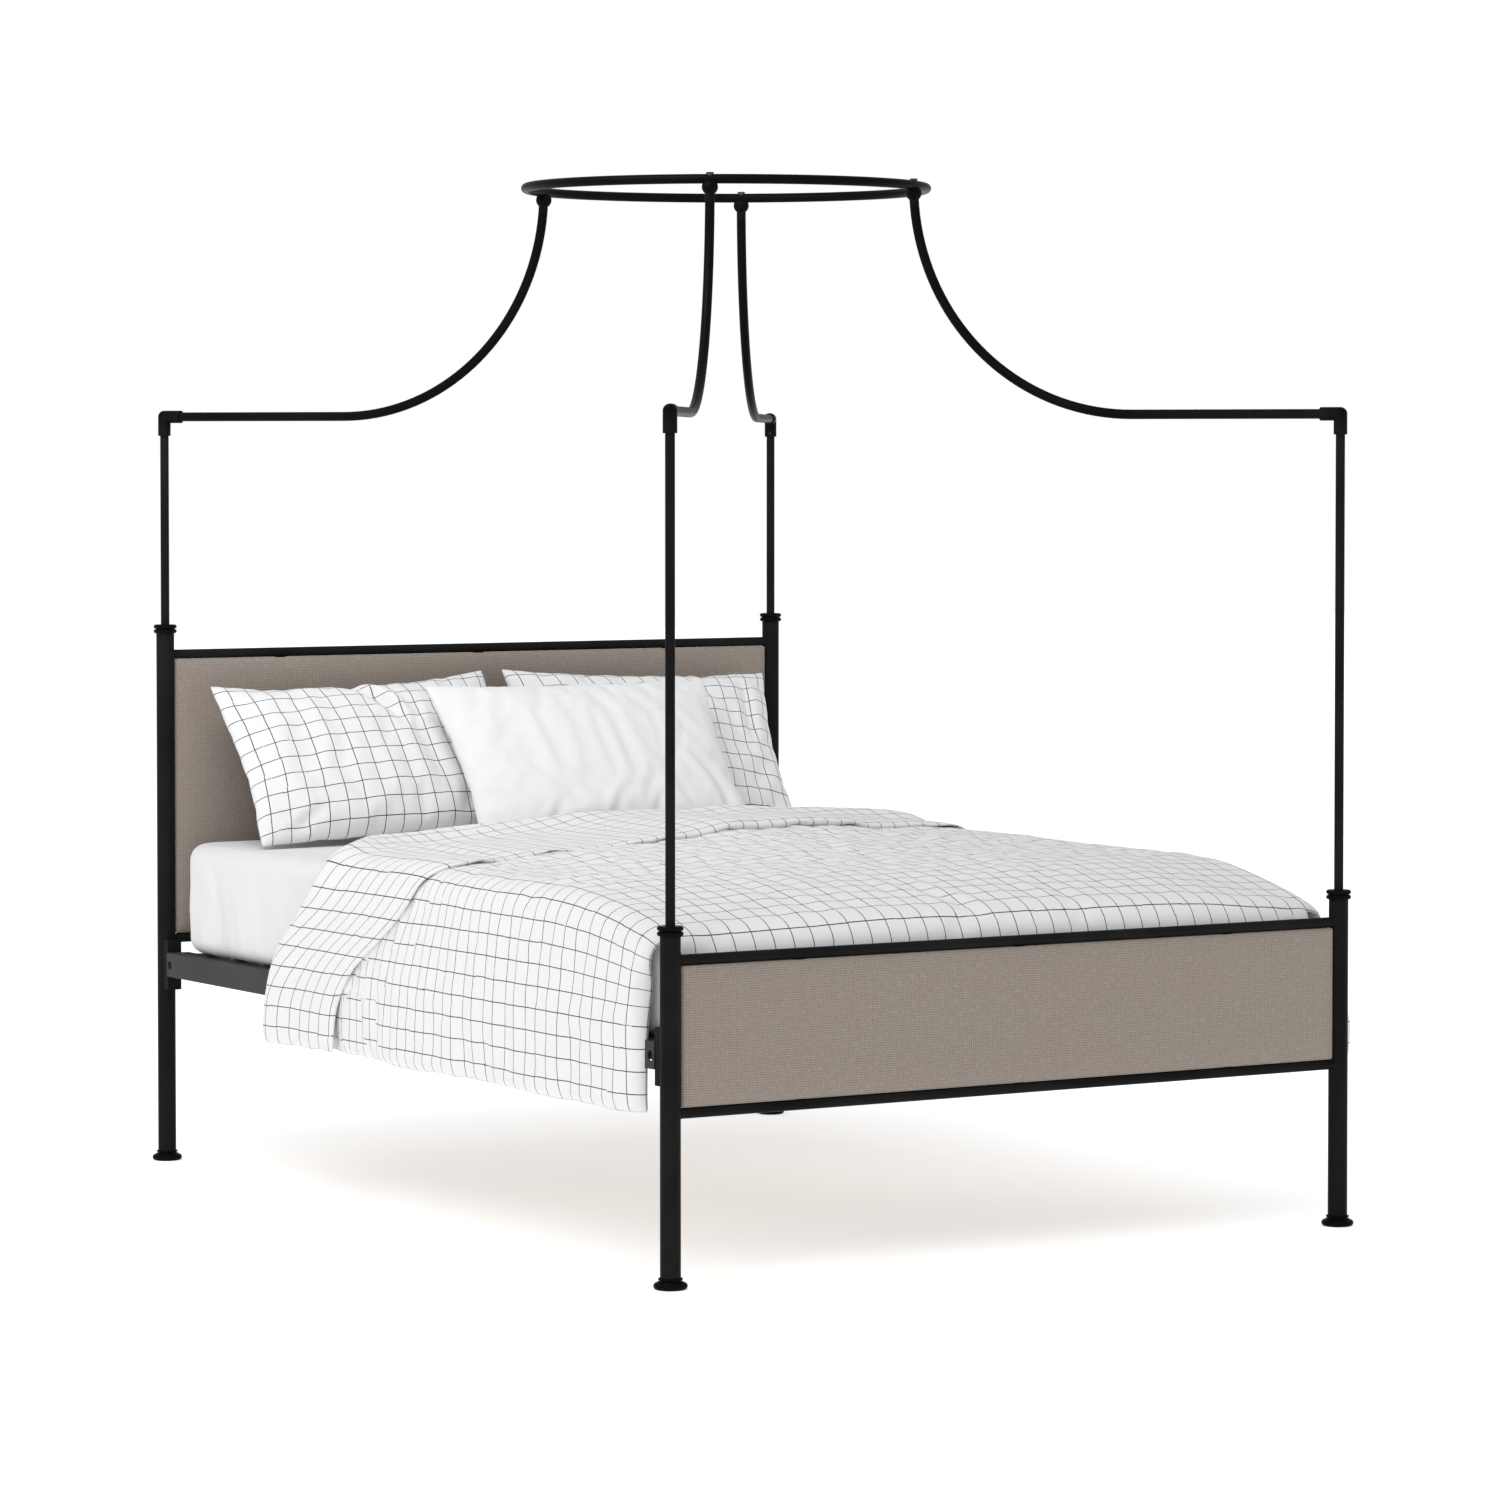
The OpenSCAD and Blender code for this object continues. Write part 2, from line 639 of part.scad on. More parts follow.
// Duvet: a quilt over the mattress that hangs at both sides and tucks down at the foot.
module duvet() {
  fold_from = duvet_head_y - duvet_fold_l;
  hang_to = duvet_head_y - 60;
  tuck_w = half_x - leg_r - 20;
  color(linen) {
    translate([-duvet_outer_x, -duvet_corner_y, duvet_bottom])
      cube([2 * duvet_outer_x, duvet_corner_y + hang_to, duvet_t]);
    translate([-duvet_outer_x, fold_from, duvet_bottom])
      cube([2 * duvet_outer_x, hang_to - fold_from, duvet_t + duvet_fold_t]);
    translate([-mattress_w / 2, fold_from, duvet_bottom])
      cube([mattress_w, duvet_fold_l, duvet_t + duvet_fold_t]);
    for (sx = [-1, 1])
      translate([sx * (duvet_inner_x + duvet_side_t / 2) - duvet_side_t / 2, -duvet_corner_y, duvet_hem])
        cube([duvet_side_t, duvet_corner_y + hang_to, duvet_top - duvet_hem]);
    translate([-tuck_w, -duvet_foot_y - duvet_foot_t, duvet_foot_low])
      cube([2 * tuck_w, duvet_foot_t, duvet_top - duvet_foot_low]);
  }
}

// Crowned pillow, flat on the XY plane, thin at its edges and pointed at its corners.
module pillow_form() {
  belly_r = pillow_t / 2;
  hull() {
    for (sx = [-1, 1], sy = [-1, 1]) {
      translate([sx * (pillow_w / 2 - tip_r), sy * (pillow_h / 2 - tip_r), 0])
        sphere(r = tip_r, $fn = 24);
      translate([sx * (pillow_w / 4), sy * (pillow_h / 2 - 1.9 * belly_r), 0])
        sphere(r = belly_r, $fn = 32);
    }
  }
}

// Pillow leaning back, with its lower tips at depth y on the sheet.
module leaning_pillow(x, y, roll) {
  reach = pillow_h / 2 - tip_r;
  lift = roll == 0 ? 0 : back_lift;
  translate([x, y + reach * sin(pillow_lean), pillow_z + lift + reach * cos(pillow_lean)])
    rotate([90 - pillow_lean, 0, 0]) rotate([0, 0, roll]) color(linen) pillow_form();
}

module left_pillow() {
  leaning_pillow(-back_pillow_x, back_pillow_y, pillow_roll);
}

module right_pillow() {
  leaning_pillow(back_pillow_x, back_pillow_y, -pillow_roll);
}

module front_pillow() {
  leaning_pillow(front_pillow_x, front_pillow_y, 0);
}

leg(-1, -1, foot_leg_top);  // front_left_leg
leg(1, -1, foot_leg_top);  // front_right_leg
leg(-1, 1, head_leg_top);  // rear_left_leg
leg(1, 1, head_leg_top);  // rear_right_leg
turned_foot(-1, -1);  // front_left_foot
turned_foot(1, -1);  // front_right_foot
turned_foot(-1, 1);  // rear_left_foot
turned_foot(1, 1);  // rear_right_foot
collar(-1, -1, foot_leg_top);  // front_left_collar
collar(1, -1, foot_leg_top);  // front_right_collar
collar(-1, 1, head_leg_top);  // rear_left_collar
collar(1, 1, head_leg_top);  // rear_right_collar
pole(-1, -1, foot_leg_top);  // front_left_pole
pole(1, -1, foot_leg_top);  // front_right_pole
pole(-1, 1, head_leg_top);  // rear_left_pole
pole(1, 1, head_leg_top);  // rear_right_pole
elbow(-1, -1);  // front_left_elbow
elbow(1, -1);  // front_right_elbow
elbow(-1, 1);  // rear_left_elbow
elbow(1, 1);  // rear_right_elbow
canopy_arm(-1, -1);  // front_left_arm
canopy_arm(1, -1);  // front_right_arm
canopy_arm(-1, 1);  // rear_left_arm
canopy_arm(1, 1);  // rear_right_arm
ring_ball(-1, -1);  // front_left_ball
ring_ball(1, -1);  // front_right_ball
ring_ball(-1, 1);  // rear_left_ball
ring_ball(1, 1);  // rear_right_ball
crown_ring();
ring_bolts();
elbow_screws();
end_rail(1, head_rail_top);  // headboard_top_rail
end_rail(1, head_rail_low);  // headboard_bottom_rail
panel_board(1, head_rail_low, head_rail_top);  // headboard_board
panel_cover(1, head_rail_low, head_rail_top);  // headboard_cover
panel_fixings(1, head_rail_low, head_rail_top);  // headboard_fixings
end_rail(-1, foot_rail_top);  // footboard_top_rail
end_rail(-1, foot_rail_low);  // footboard_bottom_rail
panel_board(-1, foot_rail_low, foot_rail_top);  // footboard_board
panel_cover(-1, foot_rail_low, foot_rail_top);  // footboard_cover
panel_fixings(-1, foot_rail_low, foot_rail_top);  // footboard_fixings
side_rail(-1);  // left_side_rail
side_rail(1);  // right_side_rail
rail_brackets();
rail_bolts();
rail_nuts();
cross_rail(1);  // head_cross_rail
cross_rail(-1);  // foot_cross_rail
cross_rail_bolts();
centre_rail();
centre_rail_hangers();
slats();
side_slat_caps();
centre_slat_caps();
mattress();
fitted_sheet();
duvet();
left_pillow();
right_pillow();
front_pillow();
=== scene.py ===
import json
import math

import bpy
import numpy as np
from mathutils import Matrix, Vector, noise


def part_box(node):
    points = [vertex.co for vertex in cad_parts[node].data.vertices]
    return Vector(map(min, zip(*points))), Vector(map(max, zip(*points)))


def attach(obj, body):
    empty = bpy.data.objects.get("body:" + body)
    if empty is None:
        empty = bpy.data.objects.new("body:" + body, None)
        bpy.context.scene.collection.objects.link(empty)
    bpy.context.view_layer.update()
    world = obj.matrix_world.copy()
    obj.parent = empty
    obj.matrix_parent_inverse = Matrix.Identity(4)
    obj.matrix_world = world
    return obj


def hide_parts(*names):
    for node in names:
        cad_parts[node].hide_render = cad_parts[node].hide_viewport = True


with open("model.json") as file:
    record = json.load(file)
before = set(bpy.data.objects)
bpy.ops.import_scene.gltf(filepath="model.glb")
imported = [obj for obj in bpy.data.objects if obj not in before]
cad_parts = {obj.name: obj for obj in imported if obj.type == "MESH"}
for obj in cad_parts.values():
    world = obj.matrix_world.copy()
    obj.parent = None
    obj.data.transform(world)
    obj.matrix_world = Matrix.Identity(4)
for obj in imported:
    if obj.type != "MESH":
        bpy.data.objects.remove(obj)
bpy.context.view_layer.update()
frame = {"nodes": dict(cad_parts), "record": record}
nodes = frame["nodes"]
world = bpy.context.scene
print("frame loaded:", len(nodes), "pieces")


def smooth(low, high, x):
    t = np.clip((np.asarray(x, float) - low) / (high - low), 0, 1)
    return t * t * (3 - 2 * t)


def noiseAt(points, size, seed):
    # soft noise from -1 to 1 for rows of x, y, z
    offset = Vector((seed * 7.31, seed * 3.17, seed * 5.53))
    return np.array([noise.noise(Vector(p) / size + offset) for p in points])


def makePiece(name, points, faces, uvs=None):
    mesh = bpy.data.meshes.new(name)
    mesh.from_pydata([tuple(p) for p in points], [], [tuple(int(i) for i in f) for f in faces])
    mesh.polygons.foreach_set("use_smooth", [True] * len(mesh.polygons))
    if uvs is not None:
        layer = mesh.uv_layers.new(name="cloth")
        corner = np.zeros(len(mesh.loops), np.int32)
        mesh.loops.foreach_get("vertex_index", corner)
        layer.data.foreach_set("uv", np.asarray(uvs, np.float32)[corner].ravel())
    mesh.update()
    piece = bpy.data.objects.new(name, mesh)
    world.collection.objects.link(piece)
    return piece


def pointsOf(piece, evaluated=False):
    source = piece.evaluated_get(bpy.context.evaluated_depsgraph_get()) if evaluated else piece
    co = np.zeros(len(source.data.vertices) * 3, np.float32)
    source.data.vertices.foreach_get("co", co)
    return co.reshape(-1, 3).astype(float)


def clothOf(piece):
    # each point's place on the flat cloth
    uv = np.zeros(len(piece.data.loops) * 2, np.float32)
    piece.data.uv_layers["cloth"].data.foreach_get("uv", uv)
    corner = np.zeros(len(piece.data.loops), np.int32)
    piece.data.loops.foreach_get("vertex_index", corner)
    flat = np.zeros((len(piece.data.vertices), 2))
    flat[corner] = uv.reshape(-1, 2)
    return flat


def setPoints(piece, points):
    piece.data.vertices.foreach_set("co", np.asarray(points, np.float32).ravel())
    piece.data.update()


def normalsOf(piece):
    no = np.zeros(len(piece.data.vertices) * 3, np.float32)
    piece.data.vertices.foreach_get("normal", no)
    return no.reshape(-1, 3).astype(float)


def subdivide(piece, levels):
    mod = piece.modifiers.new("smoother", "SUBSURF")
    mod.levels = mod.render_levels = levels
    mod.boundary_smooth = "PRESERVE_CORNERS"


def bakeModifiers(piece):
    graph = bpy.context.evaluated_depsgraph_get()
    mesh = bpy.data.meshes.new_from_object(piece.evaluated_get(graph), depsgraph=graph)
    piece.modifiers.clear()
    old = piece.data
    piece.data = mesh
    bpy.data.meshes.remove(old)
    mesh.name = piece.name


def quilt(name, us, vs, keep, shape, edgeWidth):
    # two layers of cloth on one grid, joined along the border of the kept squares
    nu, nv = len(us), len(vs)
    used = np.zeros((nu, nv), int)
    for di in (0, 1):
        for dj in (0, 1):
            used[di:nu - 1 + di, dj:nv - 1 + dj] += keep
    border = (used > 0) & (used < 4)
    uu, vv = np.meshgrid(us, vs, indexing="ij")
    bu, bv = uu[border], vv[border]
    gap = np.array([np.sqrt(((bu - a) ** 2 + (bv - b) ** 2).min()) for a, b in zip(uu.ravel(), vv.ravel())])
    gap = gap.reshape(nu, nv)
    full = np.sqrt(1 - (1 - np.clip(gap / edgeWidth, 0, 1)) ** 2)
    middle, normal, half = shape(uu, vv)
    lift = normal * (half * full)[..., None]
    index = [np.full((nu, nv), -1), np.full((nu, nv), -1)]
    points, uvs, layer = [], [], []
    for side in (0, 1):
        for i in range(nu):
            for j in range(nv):
                if not used[i, j]:
                    continue
                if side and border[i, j]:
                    index[1][i, j] = index[0][i, j]
                    continue
                index[side][i, j] = len(points)
                points.append(middle[i, j] + lift[i, j] * (1 - 2 * side))
                uvs.append((uu[i, j], vv[i, j]))
                layer.append(0.5 if border[i, j] else side)
    faces = []
    for i in range(nu - 1):
        for j in range(nv - 1):
            if keep[i, j]:
                a, b = index
                faces.append((a[i, j], a[i + 1, j], a[i + 1, j + 1], a[i, j + 1]))
                faces.append((b[i, j], b[i, j + 1], b[i + 1, j + 1], b[i + 1, j]))
    points = np.array(points)
    a, b, c, d = (points[[f[k] for f in faces]] for k in range(4))
    volume = np.einsum("ij,ij->", a, np.cross(b, c)) + np.einsum("ij,ij->", a, np.cross(c, d))
    if volume < 0:  # inside out
        faces = [f[::-1] for f in faces]
    piece = makePiece(name, points, faces, uvs)
    return piece, np.array(layer)


clothBase = {"mass": 0.3, "air": 1.5, "shearShare": 0.4}


def settle(piece, cloth, holdWeights):
    # swells and wrinkles the piece as cloth, and keeps each point within the cap
    mod = piece.modifiers.new("settle", "CLOTH")
    s = mod.settings
    s.quality = cloth["quality"]
    s.mass = clothBase["mass"]
    s.air_damping = clothBase["air"]
    s.tension_stiffness = s.compression_stiffness = cloth["stiffness"]
    s.shear_stiffness = cloth["stiffness"] * clothBase["shearShare"]
    s.bending_stiffness = cloth["bending"]
    s.use_pressure = True
    s.uniform_pressure_force = cloth["pressure"]
    s.shrink_min = -cloth["grow"]
    s.effector_weights.gravity = 0
    group = piece.vertex_groups.new(name="hold")
    for i, w in enumerate(holdWeights):
        group.add([i], float(w), "REPLACE")
    s.vertex_group_mass = "hold"
    s.pin_stiffness = cloth["hold"]
    mod.point_cache.frame_start = 1
    mod.point_cache.frame_end = cloth["frames"]
    start = pointsOf(piece)
    for f in range(1, cloth["frames"] + 1):
        world.frame_set(f)
    move = pointsOf(piece, evaluated=True) - start
    far = np.linalg.norm(move, axis=1, keepdims=True)
    move *= np.minimum(1, cloth["cap"] / np.maximum(far, 1e-9))
    piece.modifiers.remove(mod)
    piece.vertex_groups.clear()
    setPoints(piece, start + move)
    world.frame_set(1)
    print("settled", piece.name, "largest move mm", round(float(far.max()) * 1000, 1))


def newGroup(name, inputs, outputs):
    tree = bpy.data.node_groups.new(name, "ShaderNodeTree")
    for label, value in inputs:
        kind = "NodeSocketVector" if value is None else "NodeSocketFloat"
        if isinstance(value, tuple):
            kind = "NodeSocketColor"
        socket = tree.interface.new_socket(label, in_out="INPUT", socket_type=kind)
        if value is not None:
            socket.default_value = value
    for label, kind in outputs:
        tree.interface.new_socket(label, in_out="OUTPUT", socket_type=kind)
    return tree, tree.nodes.new("NodeGroupInput"), tree.nodes.new("NodeGroupOutput")


def mathNode(tree, kind, a, b=None, c=None):
    node = tree.nodes.new("ShaderNodeMath")
    node.operation = kind
    for i, value in enumerate((a, b, c)):
        if value is None:
            continue
        if isinstance(value, (int, float)):
            node.inputs[i].default_value = value
        else:
            tree.links.new(value, node.inputs[i])
    return node.outputs[0]


def noiseNode(tree, vector, scale, detail=2.0):
    node = tree.nodes.new("ShaderNodeTexNoise")
    node.inputs["Detail"].default_value = detail
    node.inputs["Scale"].default_value = scale
    tree.links.new(vector, node.inputs["Vector"])
    return node.outputs["Fac"]


def mixColour(tree, fac, a, b):
    node = tree.nodes.new("ShaderNodeMix")
    node.data_type = "RGBA"
    for value, socket in ((fac, node.inputs[0]), (a, node.inputs[6]), (b, node.inputs[7])):
        if isinstance(value, (int, float, tuple)):
            socket.default_value = value
        else:
            tree.links.new(value, socket)
    return node.outputs[2]


def fadeNode(tree, value, start, stop, low, high):
    node = tree.nodes.new("ShaderNodeMapRange")
    node.interpolation_type = "SMOOTHSTEP"
    tree.links.new(value, node.inputs["Value"])
    for label, number in (("From Min", start), ("From Max", stop), ("To Min", low), ("To Max", high)):
        node.inputs[label].default_value = number
    return node.outputs[0]


def bumpNode(tree, height, strength, distance):
    node = tree.nodes.new("ShaderNodeBump")
    node.inputs["Distance"].default_value = distance
    if isinstance(strength, (int, float)):
        node.inputs["Strength"].default_value = strength
    else:
        tree.links.new(strength, node.inputs["Strength"])
    tree.links.new(height, node.inputs["Height"])
    return node.outputs["Normal"]


def powderCoatGroup():
    tree, start, end = newGroup("powderCoat", [
        ("Vector", None), ("Colour", (0.01, 0.01, 0.01, 1)), ("Roughness", 0.4),
        ("Peel", 0.1), ("Rub", 0.3)],
        [("Colour", "NodeSocketColor"), ("Roughness", "NodeSocketFloat"), ("Normal", "NodeSocketVector")])
    vector, colour = start.outputs["Vector"], start.outputs["Colour"]
    fine = noiseNode(tree, vector, 900.0, 3.0)
    cloudy = noiseNode(tree, vector, 6.0, 4.0)
    geometry = tree.nodes.new("ShaderNodeNewGeometry")
    edge = mathNode(tree, "MULTIPLY", mathNode(tree, "SUBTRACT", geometry.outputs["Pointiness"], 0.53), 12.0)
    edge = mathNode(tree, "MINIMUM", mathNode(tree, "MAXIMUM", edge, 0.0), 1.0)
    edge = mathNode(tree, "MULTIPLY", edge, cloudy)
    edge = mathNode(tree, "MULTIPLY", edge, start.outputs["Rub"])
    light = mixColour(tree, mathNode(tree, "MULTIPLY", cloudy, 0.12), colour, (0.03, 0.03, 0.031, 1))
    light = mixColour(tree, edge, light, (0.11, 0.11, 0.11, 1))
    tree.links.new(light, end.inputs["Colour"])
    rough = mathNode(tree, "ADD", start.outputs["Roughness"],
                     mathNode(tree, "MULTIPLY", mathNode(tree, "SUBTRACT", cloudy, 0.5), 0.16))
    tree.links.new(rough, end.inputs["Roughness"])
    tree.links.new(bumpNode(tree, fine, start.outputs["Peel"], 0.0004), end.inputs["Normal"])
    return tree


def weaveGroup():
    # threads along both axes of a flat coordinate, with slubs, for linen and cotton
    tree, start, end = newGroup("weave", [
        ("Vector", None), ("Pitch", 0.002), ("Slub", 0.5), ("Depth", 0.5)],
        [("Threads", "NodeSocketFloat"), ("Slubs", "NodeSocketFloat"), ("Normal", "NodeSocketVector")])
    split = tree.nodes.new("ShaderNodeSeparateXYZ")
    tree.links.new(start.outputs["Vector"], split.inputs[0])
    threads = []
    slubs = []
    for axis in (0, 1):
        stretch = tree.nodes.new("ShaderNodeVectorMath")
        stretch.operation = "MULTIPLY"
        stretch.inputs[1].default_value = (480.0, 75.0, 1.0) if axis == 0 else (75.0, 480.0, 1.0)
        tree.links.new(start.outputs["Vector"], stretch.inputs[0])
        slub = noiseNode(tree, stretch.outputs[0], 1.0, 2.0)
        slubs.append(slub)
        phase = mathNode(tree, "DIVIDE", split.outputs[axis], start.outputs["Pitch"])
        wobble = mathNode(tree, "MULTIPLY", noiseNode(tree, start.outputs["Vector"], 45.0), 0.7)
        angle = mathNode(tree, "MULTIPLY", mathNode(tree, "ADD", phase, wobble), math.tau)
        wave = mathNode(tree, "SINE", angle)
        threads.append(mathNode(tree, "MULTIPLY_ADD", wave, 0.5, 0.5))
    both = mathNode(tree, "MULTIPLY", mathNode(tree, "ADD", threads[0], threads[1]), 0.5)
    uneven = mathNode(tree, "MULTIPLY", mathNode(tree, "ADD", slubs[0], slubs[1]), 0.5)
    tree.links.new(both, end.inputs["Threads"])
    tree.links.new(uneven, end.inputs["Slubs"])
    height = mathNode(tree, "ADD", both, mathNode(tree, "MULTIPLY", uneven, start.outputs["Slub"]))
    tree.links.new(bumpNode(tree, height, start.outputs["Depth"], 0.0006), end.inputs["Normal"])
    return tree


def crumpleGroup():
    # small facets of creased cloth: each one shifts the cloth a little, and creases run between them
    tree, start, end = newGroup("crumple", [("Vector", None), ("Scale", 9.0)],
                                [("Shift", "NodeSocketColor"), ("Crease", "NodeSocketFloat")])
    bent = tree.nodes.new("ShaderNodeVectorMath")
    bent.operation = "ADD"
    tree.links.new(start.outputs["Vector"], bent.inputs[0])
    wander = noiseNode(tree, start.outputs["Vector"], 9.0)
    tree.links.new(mathNode(tree, "MULTIPLY", wander, 0.09), bent.inputs[1])
    cells = tree.nodes.new("ShaderNodeTexVoronoi")
    edges = tree.nodes.new("ShaderNodeTexVoronoi")
    edges.feature = "DISTANCE_TO_EDGE"
    for texture in (cells, edges):
        tree.links.new(bent.outputs[0], texture.inputs["Vector"])
        tree.links.new(start.outputs["Scale"], texture.inputs["Scale"])
    near = mathNode(tree, "MINIMUM", mathNode(tree, "MULTIPLY", edges.outputs["Distance"], 4.5), 1.0)
    tree.links.new(cells.outputs["Color"], end.inputs["Shift"])
    tree.links.new(near, end.inputs["Crease"])
    return tree


effects = {"powderCoat": powderCoatGroup(), "weave": weaveGroup(), "crumple": crumpleGroup()}


def newMaterial(name, roughness, sheen=0.0):
    material = bpy.data.materials.new(name)
    material.use_nodes = True
    tree = material.node_tree
    shader = tree.nodes["Principled BSDF"]
    shader.inputs["Roughness"].default_value = roughness
    shader.inputs["Sheen Weight"].default_value = sheen
    shader.inputs["Sheen Roughness"].default_value = 0.5
    coords = tree.nodes.new("ShaderNodeTexCoord")
    return material, tree, shader, coords


def useGroup(tree, name, values):
    node = tree.nodes.new("ShaderNodeGroup")
    node.node_tree = effects[name]
    for label, value in values.items():
        if isinstance(value, (int, float, tuple)):
            node.inputs[label].default_value = value
        else:
            tree.links.new(value, node.inputs[label])
    return node


def coatedSteel(name, look):
    material, tree, shader, coords = newMaterial(name, look["roughness"])
    shader.inputs["Specular IOR Level"].default_value = look["gloss"]
    coat = useGroup(tree, "powderCoat", {
        "Vector": coords.outputs["Object"], "Colour": look["colour"], "Roughness": look["roughness"],
        "Peel": look["peel"], "Rub": look["rub"]})
    tree.links.new(coat.outputs["Colour"], shader.inputs["Base Color"])
    tree.links.new(coat.outputs["Roughness"], shader.inputs["Roughness"])
    tree.links.new(coat.outputs["Normal"], shader.inputs["Normal"])
    return material


def panelLinen(look):
    material, tree, shader, coords = newMaterial("taupeLinen", 0.9, look["sheen"])
    turn = tree.nodes.new("ShaderNodeMapping")
    # x and z of the panel become the cloth's flat axes
    turn.inputs["Rotation"].default_value = (math.pi / 2, 0, 0)
    tree.links.new(coords.outputs["Object"], turn.inputs["Vector"])
    weave = useGroup(tree, "weave", {
        "Vector": turn.outputs[0], "Pitch": look["pitch"], "Slub": look["slub"], "Depth": look["depth"]})
    tone = mixColour(tree, weave.outputs["Threads"], look["shade"], look["colour"])
    fleck = mathNode(tree, "MULTIPLY", mathNode(tree, "SUBTRACT", weave.outputs["Slubs"], 0.48), look["fleck"])
    fleck = mathNode(tree, "MINIMUM", mathNode(tree, "MAXIMUM", fleck, 0.0), 0.8)
    tone = mixColour(tree, fleck, tone, look["light"])
    tree.links.new(tone, shader.inputs["Base Color"])
    tree.links.new(weave.outputs["Normal"], shader.inputs["Normal"])
    return material


def cottonCloth(name, look):
    material, tree, shader, coords = newMaterial(name, 0.85, look["sheen"])
    cloth = coords.outputs["UV"] if look["flat"] else coords.outputs["Object"]
    weave = useGroup(tree, "weave", {"Vector": cloth, "Pitch": 0.0011, "Slub": 0.6, "Depth": look["depth"]})
    tone = mixColour(tree, weave.outputs["Slubs"], look["shade"], look["colour"])
    normal = weave.outputs["Normal"]
    if look["crumple"]:
        crumple = useGroup(tree, "crumple", {"Vector": coords.outputs["Object"], "Scale": look["facets"]})
        along = tree.nodes.new("ShaderNodeSeparateXYZ")
        tree.links.new(cloth, along.inputs[0])
        mask = mathNode(tree, "ADD", look["rest"], mathNode(
            tree, "MULTIPLY", fadeNode(tree, along.outputs[1], 0.40, 0.54, 0, 1 - look["rest"]),
            fadeNode(tree, along.outputs[1], 0.66, 1.25, 1, 0)))
        shift = tree.nodes.new("ShaderNodeVectorMath")
        shift.operation = "SUBTRACT"
        tree.links.new(crumple.outputs["Shift"], shift.inputs[0])
        shift.inputs[1].default_value = (0.5, 0.5, 0.5)
        amount = tree.nodes.new("ShaderNodeVectorMath")
        amount.operation = "SCALE"
        tree.links.new(shift.outputs[0], amount.inputs[0])
        tree.links.new(mathNode(tree, "MULTIPLY", mask, look["crumple"]), amount.inputs["Scale"])
        moved = tree.nodes.new("ShaderNodeVectorMath")
        moved.operation = "ADD"
        tree.links.new(cloth, moved.inputs[0])
        tree.links.new(amount.outputs[0], moved.inputs[1])
        cloth = moved.outputs[0]
        normal = bumpNode(tree, mathNode(tree, "MULTIPLY", crumple.outputs["Crease"], mask), 0.5, 0.006)
        tree.links.new(weave.outputs["Normal"], normal.node.inputs["Normal"])
    if look["pitch"]:
        split = tree.nodes.new("ShaderNodeSeparateXYZ")
        tree.links.new(cloth, split.inputs[0])
        lines = None
        for axis in (0, 1):
            cell = mathNode(tree, "FRACT", mathNode(tree, "DIVIDE", split.outputs[axis], look["pitch"]))
            near = mathNode(tree, "ABSOLUTE", mathNode(tree, "SUBTRACT", cell, 0.5))
            # a little uneven along its length, as yarn-dyed threads are
            ragged = mathNode(tree, "MULTIPLY", noiseNode(tree, cloth, 700.0), 0.006)
            mark = mathNode(tree, "LESS_THAN", mathNode(tree, "ADD", near, ragged),
                            look["line"] / look["pitch"] / 2)
            lines = mark if lines is None else mathNode(tree, "MAXIMUM", lines, mark)
        tone = mixColour(tree, lines, tone, look["ink"])
    tree.links.new(tone, shader.inputs["Base Color"])
    tree.links.new(normal, shader.inputs["Normal"])
    return material


def beechWood(look):
    material, tree, shader, coords = newMaterial("beech", look["roughness"])
    grain = tree.nodes.new("ShaderNodeMapping")
    grain.inputs["Scale"].default_value = (3.0, 90.0, 40.0)
    tree.links.new(coords.outputs["Object"], grain.inputs["Vector"])
    streak = noiseNode(tree, grain.outputs[0], 1.0, 6.0)
    pores = noiseNode(tree, grain.outputs[0], 7.0, 3.0)
    tone = mixColour(tree, streak, look["dark"], look["colour"])
    tone = mixColour(tree, mathNode(tree, "MULTIPLY", pores, 0.25), tone, look["dark"])
    tree.links.new(tone, shader.inputs["Base Color"])
    tree.links.new(bumpNode(tree, pores, 0.25, 0.0005), shader.inputs["Normal"])
    return material


def mouldedPlastic(look):
    material, tree, shader, coords = newMaterial("capPlastic", look["roughness"])
    speck = noiseNode(tree, coords.outputs["Object"], 1400.0, 2.0)
    tone = mixColour(tree, speck, look["colour"], look["light"])
    tree.links.new(tone, shader.inputs["Base Color"])
    tree.links.new(bumpNode(tree, speck, 0.3, 0.0003), shader.inputs["Normal"])
    return material


